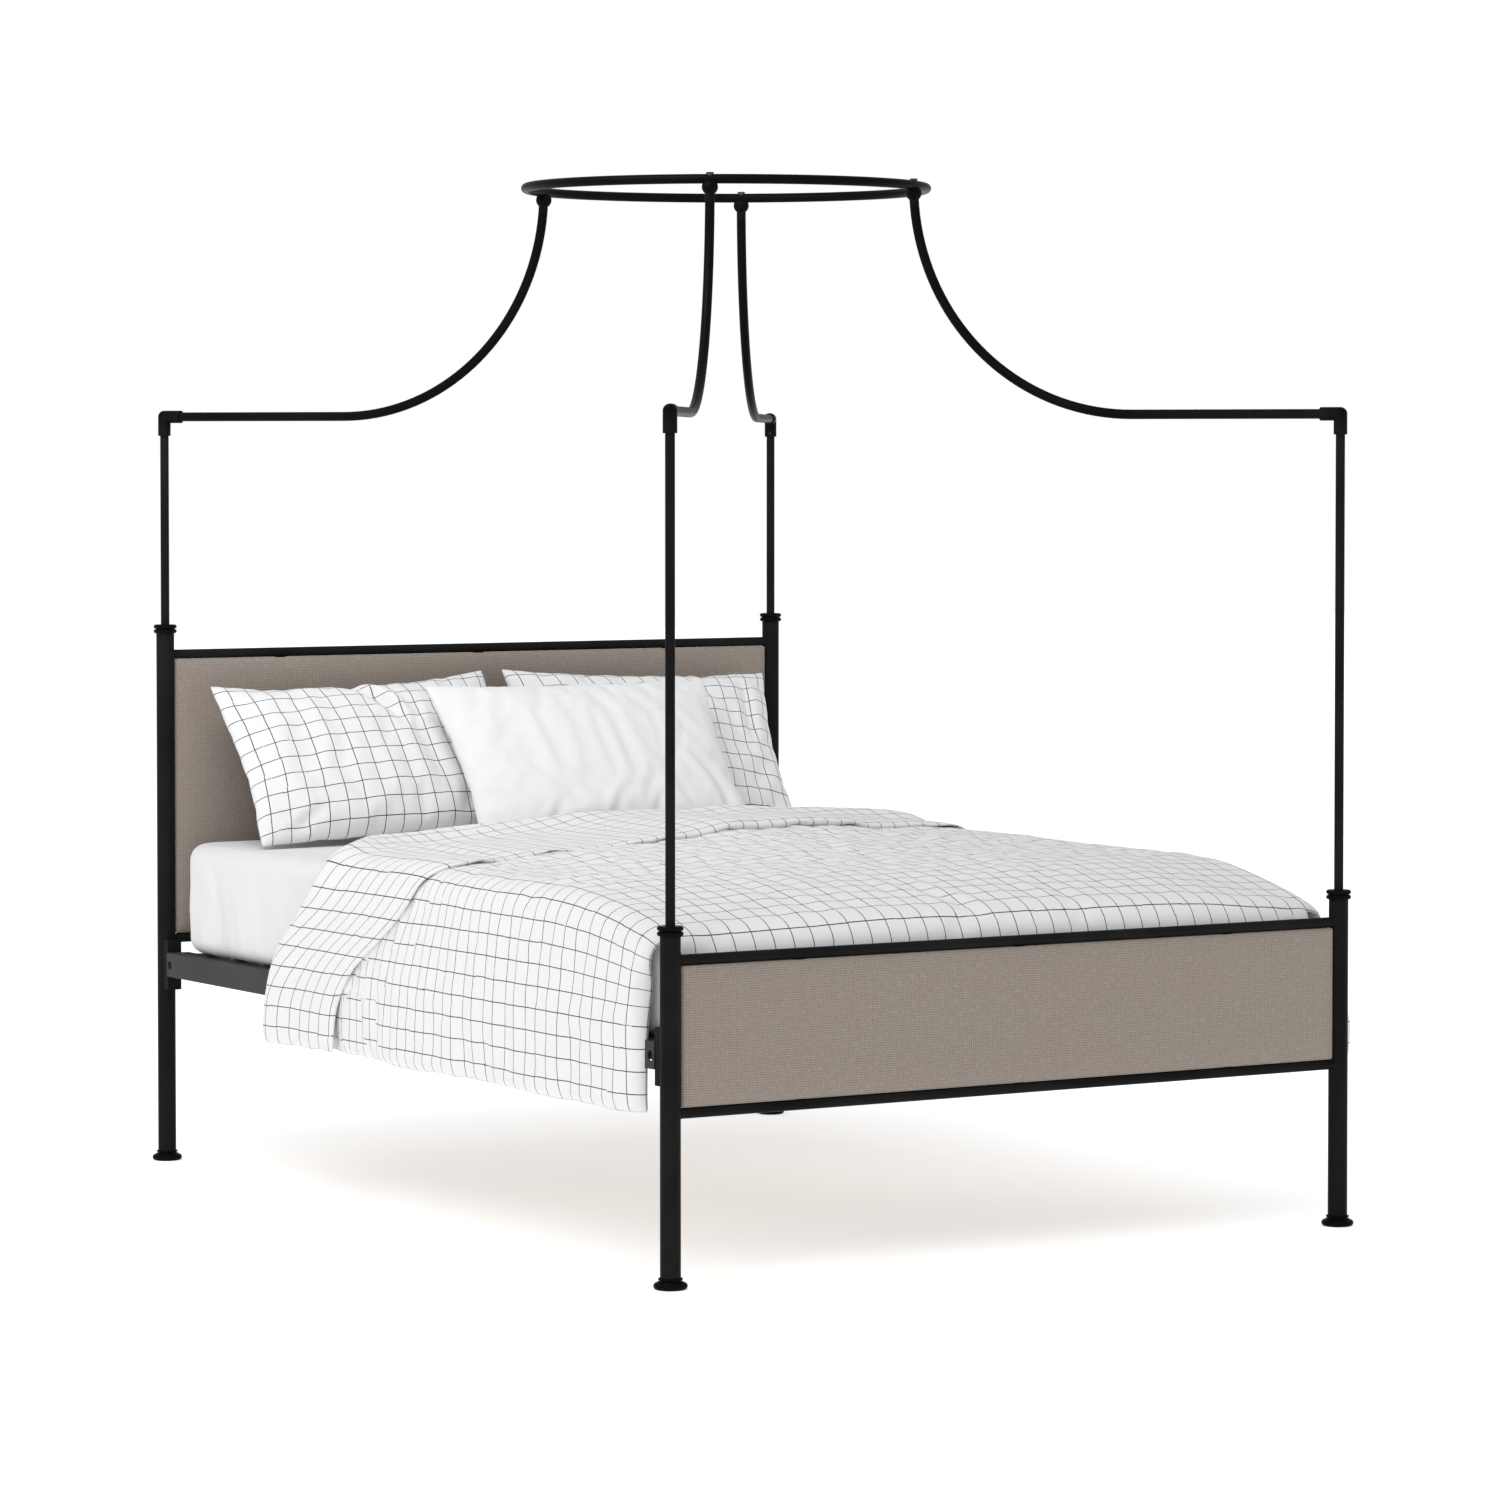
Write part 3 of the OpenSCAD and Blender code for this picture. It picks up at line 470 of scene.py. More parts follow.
finishes = {
    "frame_black": coatedSteel("blackCoat", {
        "colour": (0.0025, 0.0025, 0.0027, 1), "roughness": 0.34, "gloss": 0.022, "peel": 0.12, "rub": 0.12}),
    "rail_grey": coatedSteel("greyCoat", {
        "colour": (0.034, 0.034, 0.035, 1), "roughness": 0.48, "gloss": 0.06, "peel": 0.2, "rub": 0.4}),
    "dark_fixing": coatedSteel("darkFixing", {
        "colour": (0.006, 0.006, 0.0065, 1), "roughness": 0.3, "gloss": 0.12, "peel": 0.05, "rub": 0.8}),
    "panel_fabric": panelLinen({
        "colour": (0.335, 0.285, 0.242, 1), "shade": (0.165, 0.138, 0.116, 1), "light": (0.44, 0.38, 0.33, 1),
        "pitch": 0.0043, "slub": 1.2, "depth": 0.6, "fleck": 2.0, "sheen": 0.2}),
    "grid_cotton": cottonCloth("gridCotton", {
        "colour": (0.82, 0.82, 0.83, 1), "shade": (0.76, 0.76, 0.77, 1), "ink": (0.012, 0.012, 0.014, 1),
        "pitch": 0.041, "line": 0.0021, "depth": 0.25, "sheen": 0.15, "flat": True,
        "crumple": 0.016, "facets": 11.0, "rest": 0.12}),
    "plain_cotton": cottonCloth("plainCotton", {
        "colour": (0.83, 0.83, 0.835, 1), "shade": (0.77, 0.77, 0.775, 1), "ink": None,
        "pitch": 0, "line": 0, "depth": 0.25, "sheen": 0.15, "flat": True,
        "crumple": 0.004, "facets": 7.0, "rest": 0.05}),
    "sheet_cotton": cottonCloth("sheetCotton", {
        "colour": (0.78, 0.78, 0.78, 1), "shade": (0.71, 0.71, 0.71, 1), "ink": None,
        "pitch": 0, "line": 0, "depth": 0.25, "sheen": 0.1, "flat": False, "crumple": 0}),
    "mattress_ticking": cottonCloth("ticking", {
        "colour": (0.80, 0.79, 0.77, 1), "shade": (0.70, 0.69, 0.67, 1), "ink": None,
        "pitch": 0, "line": 0, "depth": 0.6, "sheen": 0.1, "flat": False, "crumple": 0}),
    "slat_wood": beechWood({"colour": (0.66, 0.47, 0.29, 1), "dark": (0.44, 0.29, 0.16, 1), "roughness": 0.5}),
    "cap_plastic": mouldedPlastic({"colour": (0.02, 0.02, 0.021, 1), "light": (0.035, 0.035, 0.036, 1),
                                   "roughness": 0.6}),
}
finishes["panel_board"] = finishes["slat_wood"]

for part in frame["record"]["subparts"]:
    piece = nodes[part["node"]]
    piece.data.materials.clear()
    piece.data.materials.append(finishes[part["material_slot"]])
print("materials ready")


def dress(piece, slotName, body, *replaced):
    piece.data.materials.clear()
    piece.data.materials.append(finishes[slotName])
    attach(piece, body)
    if replaced:
        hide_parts(*replaced)


stitch = {"length": 0.0034, "gap": 0.0052, "thick": 0.0007, "proud": 0.2}  # proud is a share of the thickness


def stitchTree():
    # sews a row of thread along a curve
    tree = bpy.data.node_groups.new("sewnRow", "GeometryNodeTree")
    face = tree.interface
    face.new_socket("Seam", in_out="INPUT", socket_type="NodeSocketGeometry")
    for label in ("Length", "Spacing", "Thickness"):
        face.new_socket(label, in_out="INPUT", socket_type="NodeSocketFloat")
    face.new_socket("Thread", in_out="INPUT", socket_type="NodeSocketMaterial")
    face.new_socket("Stitches", in_out="OUTPUT", socket_type="NodeSocketGeometry")
    start, end = tree.nodes.new("NodeGroupInput"), tree.nodes.new("NodeGroupOutput")
    points = tree.nodes.new("GeometryNodeCurveToPoints")
    points.mode = "LENGTH"
    tree.links.new(start.outputs["Seam"], points.inputs["Curve"])
    tree.links.new(start.outputs["Spacing"], points.inputs["Length"])
    bead = tree.nodes.new("GeometryNodeMeshUVSphere")
    bead.inputs["Segments"].default_value = 6
    bead.inputs["Rings"].default_value = 4
    bead.inputs["Radius"].default_value = 0.5
    size = tree.nodes.new("ShaderNodeCombineXYZ")
    for axis, label in (("X", "Thickness"), ("Y", "Thickness"), ("Z", "Length")):
        tree.links.new(start.outputs[label], size.inputs[axis])
    place = tree.nodes.new("GeometryNodeInstanceOnPoints")
    tree.links.new(points.outputs["Points"], place.inputs["Points"])
    tree.links.new(bead.outputs["Mesh"], place.inputs["Instance"])
    tree.links.new(points.outputs["Rotation"], place.inputs["Rotation"])
    tree.links.new(size.outputs[0], place.inputs["Scale"])
    real = tree.nodes.new("GeometryNodeRealizeInstances")
    colour = tree.nodes.new("GeometryNodeSetMaterial")
    tree.links.new(place.outputs["Instances"], real.inputs[0])
    tree.links.new(real.outputs[0], colour.inputs["Geometry"])
    tree.links.new(start.outputs["Thread"], colour.inputs["Material"])
    tree.links.new(colour.outputs["Geometry"], end.inputs["Stitches"])
    return tree


sewnRow = stitchTree()


def sewAlong(name, piece, rows, slotName, body):
    # rows of points near the cloth are laid on it, then sewn
    curve = bpy.data.curves.new(name + "_line", "CURVE")
    curve.dimensions = "3D"
    for row, closed in rows:
        line = curve.splines.new("POLY")
        line.points.add(len(row) - 1)
        line.use_cyclic_u = closed
        for point, target in zip(line.points, row):
            hit, place, normal, face = piece.closest_point_on_mesh(Vector(target))
            point.co = (*(place + normal * stitch["thick"] * stitch["proud"]), 1)
    source = bpy.data.objects.new(name + "_line", curve)
    world.collection.objects.link(source)
    holder = makePiece(name + "_start", [(0, 0, 0)], [])
    mod = source.modifiers.new("sewn", "NODES")
    mod.node_group = sewnRow
    values = {"Length": stitch["length"], "Spacing": stitch["length"] + stitch["gap"],
              "Thickness": stitch["thick"], "Thread": finishes[slotName]}
    for item in sewnRow.interface.items_tree:
        if item.in_out == "INPUT" and item.name in values:
            mod[item.identifier] = values[item.name]
    graph = bpy.context.evaluated_depsgraph_get()
    mesh = bpy.data.meshes.new_from_object(source.evaluated_get(graph), depsgraph=graph)
    mesh.name = name
    holder.data = mesh
    holder.name = name
    bpy.data.objects.remove(source)
    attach(holder, body)
    print("sewn", name, len(mesh.polygons))


panelPad = {"grow": 0.0015, "crown": 0.050, "seam": 0.006, "corner": 0.004, "step": 0.011, "ripple": 0.0009}


def endPanel(name, node):
    low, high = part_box(node)
    grow = panelPad["grow"]
    xs = np.linspace(low.x - grow, high.x + grow, int((high.x - low.x) / panelPad["step"]) + 1)
    zs = np.linspace(low.z - grow, high.z + grow, int((high.z - low.z) / panelPad["step"]) + 1)
    # extra rows near the edges, where the cover turns in
    near = np.array([0.0015, 0.004, 0.007])
    xs = np.unique(np.concatenate([xs, xs[0] + near, xs[-1] - near]))
    zs = np.unique(np.concatenate([zs, zs[0] + near, zs[-1] - near]))
    centre = np.array([(xs[0] + xs[-1]) / 2, (low.y + high.y) / 2, (zs[0] + zs[-1]) / 2])
    size = np.array([xs[-1] - xs[0], zs[-1] - zs[0]]) / 2
    thick = (high.y - low.y) / 2
    r = panelPad["corner"]
    points, index, faces = [], {}, []
    for side in (-1, 1):
        for i, x in enumerate(xs):
            for j, z in enumerate(zs):
                a, b = x - centre[0], z - centre[2]
                # round the corners by drawing the corner points in
                over = np.array([abs(a) - (size[0] - r), abs(b) - (size[1] - r)])
                if over.min() > 0:
                    scale = over.max() / max(np.linalg.norm(over), 1e-9)
                    a = math.copysign(size[0] - r + over[0] * scale, a)
                    b = math.copysign(size[1] - r + over[1] * scale, b)
                edge = max(0.0, min(size[0] - abs(x - centre[0]), size[1] - abs(z - centre[2])))
                swell = math.sqrt(1 - (1 - min(edge / panelPad["crown"], 1)) ** 2)
                y = panelPad["seam"] + (thick - panelPad["seam"]) * swell
                y += panelPad["ripple"] * noise.noise(Vector((x, side, z)) * 9.0) * swell
                index[side, i, j] = len(points)
                points.append((centre[0] + a, centre[1] + side * y, centre[2] + b))
    nx, nz = len(xs), len(zs)
    for i in range(nx - 1):
        for j in range(nz - 1):
            square = [(i, j), (i + 1, j), (i + 1, j + 1), (i, j + 1)]
            faces.append([index[(-1,) + q] for q in square])
            faces.append([index[(1,) + q] for q in reversed(square)])
    rim = [(i, 0) for i in range(nx)] + [(nx - 1, j) for j in range(1, nz)]
    rim += [(i, nz - 1) for i in range(nx - 2, -1, -1)] + [(0, j) for j in range(nz - 2, 0, -1)]
    for k, q in enumerate(rim):
        p = rim[(k + 1) % len(rim)]
        faces.append([index[(-1,) + p], index[(-1,) + q], index[(1,) + q], index[(1,) + p]])
    piece = makePiece(name, points, faces)
    dress(piece, "panel_fabric", "frame", node)


endPanel("headboard_upholstery", "headboard_cover")
endPanel("footboard_upholstery", "footboard_cover")
print("panels made")


mattressLook = {"corner": 0.09, "edge": 0.034, "under": 0.02, "step": 0.012,
                "sag": 0.064, "sagFrom": -0.58, "sagOver": 0.42}
sheetLook = {"corner": 0.0915, "thick": 0.0007, "underShare": 0.4, "tuck": 0.03,
             "slack": 0.0072, "proud": 0.0015}


def footSag(y):
    # the foot end of the bedding is softer and lies lower
    look = mattressLook
    return look["sag"] * np.clip((look["sagFrom"] - np.asarray(y, float)) / look["sagOver"], 0, 1.08) ** 2


def roundedOutline(halfX, halfY, corner, step):
    # points round a rounded rectangle with their outward directions
    points, outward = [], []
    for sx, sy, turn in ((1, 1, 0), (-1, 1, 90), (-1, -1, 180), (1, -1, 270)):
        for k in range(13):
            angle = math.radians(turn + 90 * k / 12)
            d = (math.cos(angle), math.sin(angle))
            points.append((sx * (halfX - corner) + corner * d[0], sy * (halfY - corner) + corner * d[1]))
            outward.append(d)
    ring, aim = [], []
    for k in range(len(points)):
        p, q = np.array(points[k]), np.array(points[(k + 1) % len(points)])
        count = max(1, round(float(np.linalg.norm(q - p)) / step))
        for m in range(count):
            ring.append(p + (q - p) * m / count)
            t = m / count
            aim.append(np.array(outward[k]) * (1 - t) + np.array(outward[(k + 1) % len(points)]) * t)
    return np.array(ring), np.array(aim)


def slabShell(name, halfX, halfY, low, high, corner, edge, under, creases):
    # a soft-edged slab: rings from the middle of the top, over the edge and down the side
    ring, aim = roundedOutline(halfX, halfY, corner, mattressLook["step"])
    rows = []
    for share in (0.5, 0.3, 0.15, 0.05, 0.0):
        rows.append((share, 0.0, high))  # share drawn in towards the middle
    for k in range(7):
        a = math.radians(90 * k / 6)
        rows.append((None, edge * (math.sin(a) - 1), high - edge * (1 - math.cos(a))))
    for k in range(1, 16):
        rows.append((None, 0.0, high - edge - (high - low - 2 * edge) * k / 16))
    for k in range(7):
        a = math.radians(90 * k / 6)
        rows.append((None, -edge * (1 - math.cos(a)), low + edge * (1 - math.sin(a))))
    for k in range(1, 3):
        rows.append((None, -edge - under * k / 2, low))
    points = []
    for share, inset, z in rows:
        for p, d in zip(ring, aim):
            if share is None:
                q = p + d * inset
                crease = creases(p, d, z)
                points.append((q[0] + d[0] * crease, q[1] + d[1] * crease, z))
            else:
                q = (p - d * edge) * (1 - share)
                points.append((q[0], q[1], z))
    n = len(ring)
    points = np.array(points)
    share = np.clip((points[:, 2] - low) / (high - low), 0, 1) ** 2
    points[:, 2] -= footSag(points[:, 1]) * share
    faces = [tuple(range(n))]
    for r in range(len(rows) - 1):
        for k in range(n):
            m = (k + 1) % n
            faces.append((r * n + k, (r + 1) * n + k, (r + 1) * n + m, r * n + m))
    return points, faces, n


def makeMattress():
    low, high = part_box("mattress")
    points, faces, n = slabShell("mattress", high.x - 0.001, high.y - 0.001, low.z, high.z - 0.001,
                                 mattressLook["corner"], mattressLook["edge"], mattressLook["under"],
                                 lambda p, d, z: 0.0)
    last = len(points) - n
    faces.append(list(range(last, len(points))))
    piece = makePiece("mattress_core", points, faces)
    dress(piece, "mattress_ticking", "mattress", "mattress")


def sheetCrease(p, d, z):
    # slack that hangs in upright folds, deepest low on the side
    low, high = sheetZ
    t = np.clip((high - z) / (high - low), 0, 1)
    along = p[0] * abs(d[1]) + p[1] * abs(d[0])
    fold = noise.noise(Vector((along * 11 + 0.9 * t, 3.1, t * 0.8))) + 0.5 * noise.noise(
        Vector((along * 27 + 2.5 * t, 7.7, t * 1.7)))
    deep = float(smooth(0.02, 0.35, t)) * (1 - 0.6 * float(smooth(0.85, 1, t)))
    return sheetLook["slack"] * fold * deep + sheetLook["proud"]


sheetZ = tuple(v.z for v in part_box("fitted_sheet"))


def makeSheet():
    low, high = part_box("fitted_sheet")
    points, faces, n = slabShell("sheet", high.x, high.y, low.z - 0.001, high.z,
                                 sheetLook["corner"], mattressLook["edge"],
                                 mattressLook["under"] * sheetLook["underShare"], sheetCrease)
    piece = makePiece("fitted_sheet_cloth", points, faces)
    mod = piece.modifiers.new("cloth", "SOLIDIFY")
    mod.thickness = sheetLook["thick"]
    mod.offset = -1
    bakeModifiers(piece)
    dress(piece, "sheet_cotton", "mattress", "fitted_sheet")


makeMattress()
makeSheet()
print("mattress and sheet made")


pillowCloth = {"quality": 5, "stiffness": 15, "bending": 0.3, "pressure": 1.6, "grow": 0.022, "frames": 14,
               "cap": 0.011, "hold": 4.0}
pillowLook = {"step": 0.0125, "edge": 0.012, "pullX": 0.019, "belly": 2.5, "round": 0.62,
              "seam": 0.0028}


def makePillow(name, node, slotName, lean, roll, own):
    low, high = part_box(node)
    centre = (low + high) / 2
    look = pillowLook
    width, height, half = own["size"]
    us = np.linspace(-width / 2, width / 2, int(width / look["step"]) + 1)
    vs = np.linspace(-height / 2, height / 2, int(height / look["step"]) + 1)
    keep = np.ones((len(us) - 1, len(vs) - 1), int)

    def crowned(uu, vv):
        # plump in the middle, with edges that draw in between pointed corners
        a, b = 2 * uu / width, 2 * vv / height
        x = uu * (1 - 2 * look["pullX"] / width * (1 - b ** 2) ** 1.5)
        pull = np.where(b > 0, own["top"], own["bottom"])
        y = vv - np.sign(b) * np.abs(b) ** 1.5 * pull * (1 - np.abs(a) ** 2.4)
        x = x + own["shear"] * (height / 2 - vv) * smooth(0, 0.33, uu * own["side"])
        crown = np.clip(1 - np.abs(a) ** look["belly"], 0, 1) * np.clip(1 - np.abs(b) ** look["belly"], 0, 1)
        thick = look["seam"] + (half - look["seam"]) * crown ** look["round"]
        middle = np.stack([x, y, np.zeros_like(x)], axis=-1)
        normal = np.zeros_like(middle)
        normal[..., 2] = 1
        return middle, normal, thick

    piece, layer = quilt(name, us, vs, keep, crowned, look["edge"])
    points = pointsOf(piece)
    cloth = clothOf(piece)
    toEdge = np.minimum(width / 2 - np.abs(cloth[:, 0]), height / 2 - np.abs(cloth[:, 1]))
    # gathers that start at the seams, and slack over the belly
    upright = (height / 2 - np.abs(cloth[:, 1])) < (width / 2 - np.abs(cloth[:, 0]))
    along = np.where(upright, points[:, 0], points[:, 1])
    gather = noiseAt(np.stack([along, toEdge * 0.25, points[:, 2] * 0.2], axis=1), 0.03, own["seed"])
    slack = noiseAt(points * [1, 1, 0.4], 0.13, own["seed"] + 20)
    soft = noiseAt(points * [1.0, 0.55, 0.4], 0.06, own["seed"] + 40)
    rim = layer == 0.5
    fade = smooth(0.0, 0.02, toEdge) * (1 - smooth(0.05, 0.12, toEdge))
    outward = np.sign(points[:, 2])
    loose = own["slack"] * (slack + 0.3 * soft) * smooth(0.01, 0.1, toEdge)
    points[:, 2] += outward * (own["gather"] * gather * fade + loose)
    for line in own["lines"]:
        points[:, 2] -= groove(points, line) * (points[:, 2] > 0)
    setPoints(piece, points)
    settle(piece, pillowCloth, np.where(rim, 0.85, 0.12))
    points = pointsOf(piece)
    # the seam wanders, and the lower edge is pressed where the pillow stands on the bed
    wander = noiseAt(points * [1, 1, 0], 0.11, own["seed"] + 60)
    points[:, 2] += 0.004 * wander * (1 - smooth(0.0, 0.09, toEdge))
    points[:, 1] = np.maximum(points[:, 1], own["pressed"])
    turn = Matrix.Rotation(math.radians(90 - lean), 4, "X") @ Matrix.Rotation(math.radians(roll), 4, "Z")
    points = points @ np.array(turn.to_3x3()).T + np.array(centre) + [own["shift"], 0, 0]
    setPoints(piece, points)
    seam = points[(layer == 0) & (np.abs(toEdge - look["step"]) < 0.004)]
    flat = cloth[(layer == 0) & (np.abs(toEdge - look["step"]) < 0.004)]
    order = np.argsort(np.arctan2(flat[:, 1] / height, flat[:, 0] / width))
    subdivide(piece, 1)
    bakeModifiers(piece)
    dress(piece, slotName, node, node)
    sewAlong(name + "_stitches", piece, [(seam[order], True)], slotName, node)


def groove(points, line):
    # how far a soft crease along a to b sinks the cloth
    a, b = np.array(line["from"]), np.array(line["to"])
    along = b - a
    length = np.linalg.norm(along)
    along = along / length
    rel = points[:, :2] - a
    t = rel @ along
    bend = line.get("bend", 0.0) * np.sin(np.clip(t / length, 0, 1) * math.pi)
    across = rel @ np.array([-along[1], along[0]]) - bend
    fade = smooth(-0.02, 0.05, t) * (1 - smooth(length - 0.07, length, t))
    return line["depth"] * fade * (np.exp(-(across / line["width"]) ** 2)
                                   - 0.55 * np.exp(-((across - 1.7 * line["width"]) / line["width"]) ** 2))


pillowLean = 39
pillowSize = {"size": (0.672, 0.424, 0.064), "pressed": -0.212, "shift": 0.0, "gather": 0.0038}  # metres
makePillow("left_pillow_case", "left_pillow", "grid_cotton", pillowLean, 2.3, pillowSize | {
    "seed": 1, "top": 0.034, "bottom": 0.012, "shear": -0.06, "side": -1, "slack": 0.0045, "lines": [
        {"from": (-0.06, 0.20), "to": (0.06, 0.03), "depth": 0.020, "width": 0.014, "bend": 0.02},
        {"from": (0.24, -0.20), "to": (0.21, -0.09), "depth": 0.009, "width": 0.011},
        {"from": (-0.29, -0.19), "to": (-0.17, -0.13), "depth": 0.008, "width": 0.012}]})
makePillow("right_pillow_case", "right_pillow", "grid_cotton", pillowLean, -2.3, pillowSize | {
    "seed": 2, "top": 0.026, "bottom": 0.012, "shear": -0.13, "side": 1, "slack": 0.0045, "lines": [
        {"from": (0.25, 0.17), "to": (0.21, -0.02), "depth": 0.010, "width": 0.014},
        {"from": (0.10, 0.20), "to": (0.13, 0.10), "depth": 0.007, "width": 0.012}]})
makePillow("front_pillow_case", "front_pillow", "plain_cotton", pillowLean, 0, pillowSize | {
    "seed": 3, "size": (0.700, 0.424, 0.064), "shift": -0.016,
    "top": 0.016, "bottom": 0.008, "shear": -0.05, "side": 1, "slack": 0.0010, "gather": 0.0016, "lines": [
        {"from": (-0.04, -0.20), "to": (0.02, -0.10), "depth": 0.007, "width": 0.011, "bend": 0.01},
        {"from": (0.05, -0.21), "to": (0.10, -0.11), "depth": 0.007, "width": 0.009},
        {"from": (-0.20, -0.20), "to": (-0.14, -0.12), "depth": 0.007, "width": 0.010},
        {"from": (0.27, -0.19), "to": (0.20, 0.00), "depth": 0.010, "width": 0.016, "bend": -0.02},
        {"from": (0.20, -0.20), "to": (0.13, -0.08), "depth": 0.008, "width": 0.012}]})
print("pillows made")


duvet = {
    "halfWidth": 1.128,     # middle of the bed to a side hem, along the cloth
    "step": 0.02,           # between the cloth's points
    "edgeHalf": 0.0065,     # half the filling's depth along the edges of the bed
    "sideHalf": 0.0105,     # and where it hangs
    "loft": 0.0085,         # more of it over the middle
    "foldRadius": 0.017,
    "turnFrom": 0.713,      # along the cloth, where the top starts to turn down the side
    "turnTo": 0.788,
    "hang": 84.5,           # degrees of the hanging side, to clear the side rails
    "footFrom": -0.960,     # where the top turns down at the foot
    "cornerFrom": -0.938,   # and where it does so near the corners
    "footRadius": 0.050,
    "tuckLength": 0.165,    # cloth below that turn
    "drapePast": 0.036,     # how far the hanging sides run past the start of the foot turn
    "cutAt": 0.725,         # the sides are cut short past this distance from the middle
    "length": 2.13,
}
duvetCloth = {"quality": 5, "stiffness": 14, "bending": 0.4, "pressure": 0.8, "grow": 0.012, "frames": 12,
              "cap": 0.012, "hold": 3.0}


def duvetSection(u):
    # across the bed: x, drop below the middle of the bed, and the outward direction
    d = duvet
    s = np.linspace(0, d["halfWidth"] + 0.02, 800)
    turn = (s - d["turnFrom"]) / (d["turnTo"] - d["turnFrom"])
    angle = np.radians(d["hang"]) * np.interp(turn, [-0.35, 0.1, 0.9, 1.35], [0, 0.09, 0.91, 1])
    angle = angle + np.radians(90 - d["hang"]) * smooth(0.94, 1.0, s)
    ds = s[1] - s[0]
    x = np.concatenate([[0], np.cumsum(np.cos((angle[1:] + angle[:-1]) / 2) * ds)])
    z = -np.concatenate([[0], np.cumsum(np.sin((angle[1:] + angle[:-1]) / 2) * ds)])
    a, side = np.abs(u), np.sign(u)
    angleAt = np.interp(a, s, angle)
    return side * np.interp(a, s, x), np.interp(a, s, z), np.stack(
        [side * np.sin(angleAt), np.zeros_like(a), np.cos(angleAt)], axis=-1)


def foldLine(u):
    # how far along the bed the duvet is folded back, across it and down its sides
    dip = -0.20 * np.exp(-((u + 0.77) / 0.15) ** 2)
    left = -0.03 * smooth(-0.80, -1.0, u) - 0.03 * smooth(-0.3, -0.6, u) * smooth(-0.95, -0.7, u)
    right = -0.05 * smooth(0.6, 0.8, u)
    return duvetHead + dip + left + right


def bandLength(u):
    # depth of the folded-back band, which narrows towards the right of the bed
    over = 0.45 - 0.20 * (u / 0.75)
    left = -0.13 * smooth(-0.60, -0.80, u) - 0.105 * smooth(-0.80, -1.05, u)
    return np.clip(over, 0.25, 0.54) + left


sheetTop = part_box("fitted_sheet")[1].z
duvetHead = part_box("duvet")[1].y - 0.019


def duvetHalf(u, w):
    # the filling is thin along the edges of the bed, and deepest right of the middle near the fold
    d = duvet
    crown = np.clip(1 - (np.abs(u) / 0.73) ** 2.2, 0, 1)
    nearFold = np.exp(-((u - 0.22) / 0.50) ** 2) * (1 - smooth(0.15, 1.1, w))
    return d["edgeHalf"] + (d["sideHalf"] - d["edgeHalf"]) * smooth(0.74, 0.86, np.abs(u)) + d["loft"] * (
        0.75 * crown * smooth(0.0, 0.6, w) + 1.25 * nearFold * crown ** 0.5)


def duvetShape(uu, vv):
    d = duvet
    r = d["foldRadius"] + 0.5 * (duvetHalf(uu, 0 * uu) - d["sideHalf"])
    x, drop, outward = duvetSection(uu)
    w = vv - bandLength(uu)                       # past the fold towards the foot, or back over the band
    a = np.clip(-w / r, -math.pi / 2, math.pi / 2)
    straight = np.abs(w) - np.clip(np.abs(w), 0, r * math.pi / 2)
    # the lines across the bed straighten on the way to the foot
    total = foldLine(uu) + bandLength(uu)
    back = foldLine(uu) - r + r * np.cos(a) - straight
    even = (duvetHead + 0.45 - total) * smooth(0.0, 1.0, w)
    y = back + even
    half = duvetHalf(uu, np.clip(w, 0, None))
    # height of this layer over the lower one; the band settles down away from the fold
    settled = np.clip(1.75 * half + 0.001 - 2 * r, -2 * r, 0) * smooth(0.03, 0.14, -w)
    height = r + r * np.sin(a) + settled
    z = sheetTop + 0.002 + half + drop - footSag(y) * np.clip(1 + drop / 0.2, 0, 1)
    z = z - 0.012 * smooth(0.42, 0.74, uu) * smooth(-0.62, -0.95, y) * np.clip(1 + drop / 0.1, 0, 1)
    # the right side stands out a little at its foot corner
    x = x + 0.062 * smooth(0.90, 1.06, uu) * smooth(-0.70, -0.92, y)
    # over the foot end, turning in round the mattress along each place's own inward direction
    corner = smooth(0.74, 0.86, np.abs(uu))
    start = d["footFrom"] + (d["cornerFrom"] - d["footFrom"]) * corner
    over = np.clip(start - y, 0, None)
    bend = d["footRadius"]
    phi = np.clip(over / bend, 0, math.pi / 2)
    # the cloth gathers at the two corners, where there is less room for it
    room = 1 - 0.55 * smooth(0.66, 0.74, np.abs(uu)) * (1 - smooth(0.80, 0.88, np.abs(uu)))
    inward = room * (bend * (1 - np.cos(phi)) + np.clip(over - bend * math.pi / 2, 0, None))
    y = np.where(over > 0, start - bend * np.sin(phi), y)
    middle = np.stack([x, y, z], axis=-1) + outward * (height - inward)[..., None]
    normal = outward * np.cos(phi)[..., None]
    normal[..., 1] -= np.sin(phi)
    # the upper face of the cloth looks up, or down where it is folded over
    turned = outward * -np.sin(a)[..., None]
    turned[..., 1] = np.cos(a) * -1
    near = (np.abs(w) < r * math.pi / 2)[..., None]
    flip = np.where(w < 0, -1.0, 1.0)[..., None]
    normal = np.where(near, turned, normal * flip)
    half = half + (0.006 - half) * smooth(0.5, 1.0, over / (bend * math.pi / 2))
    half = np.where(w < 0, half * 0.75, half)
    return middle, normal, half


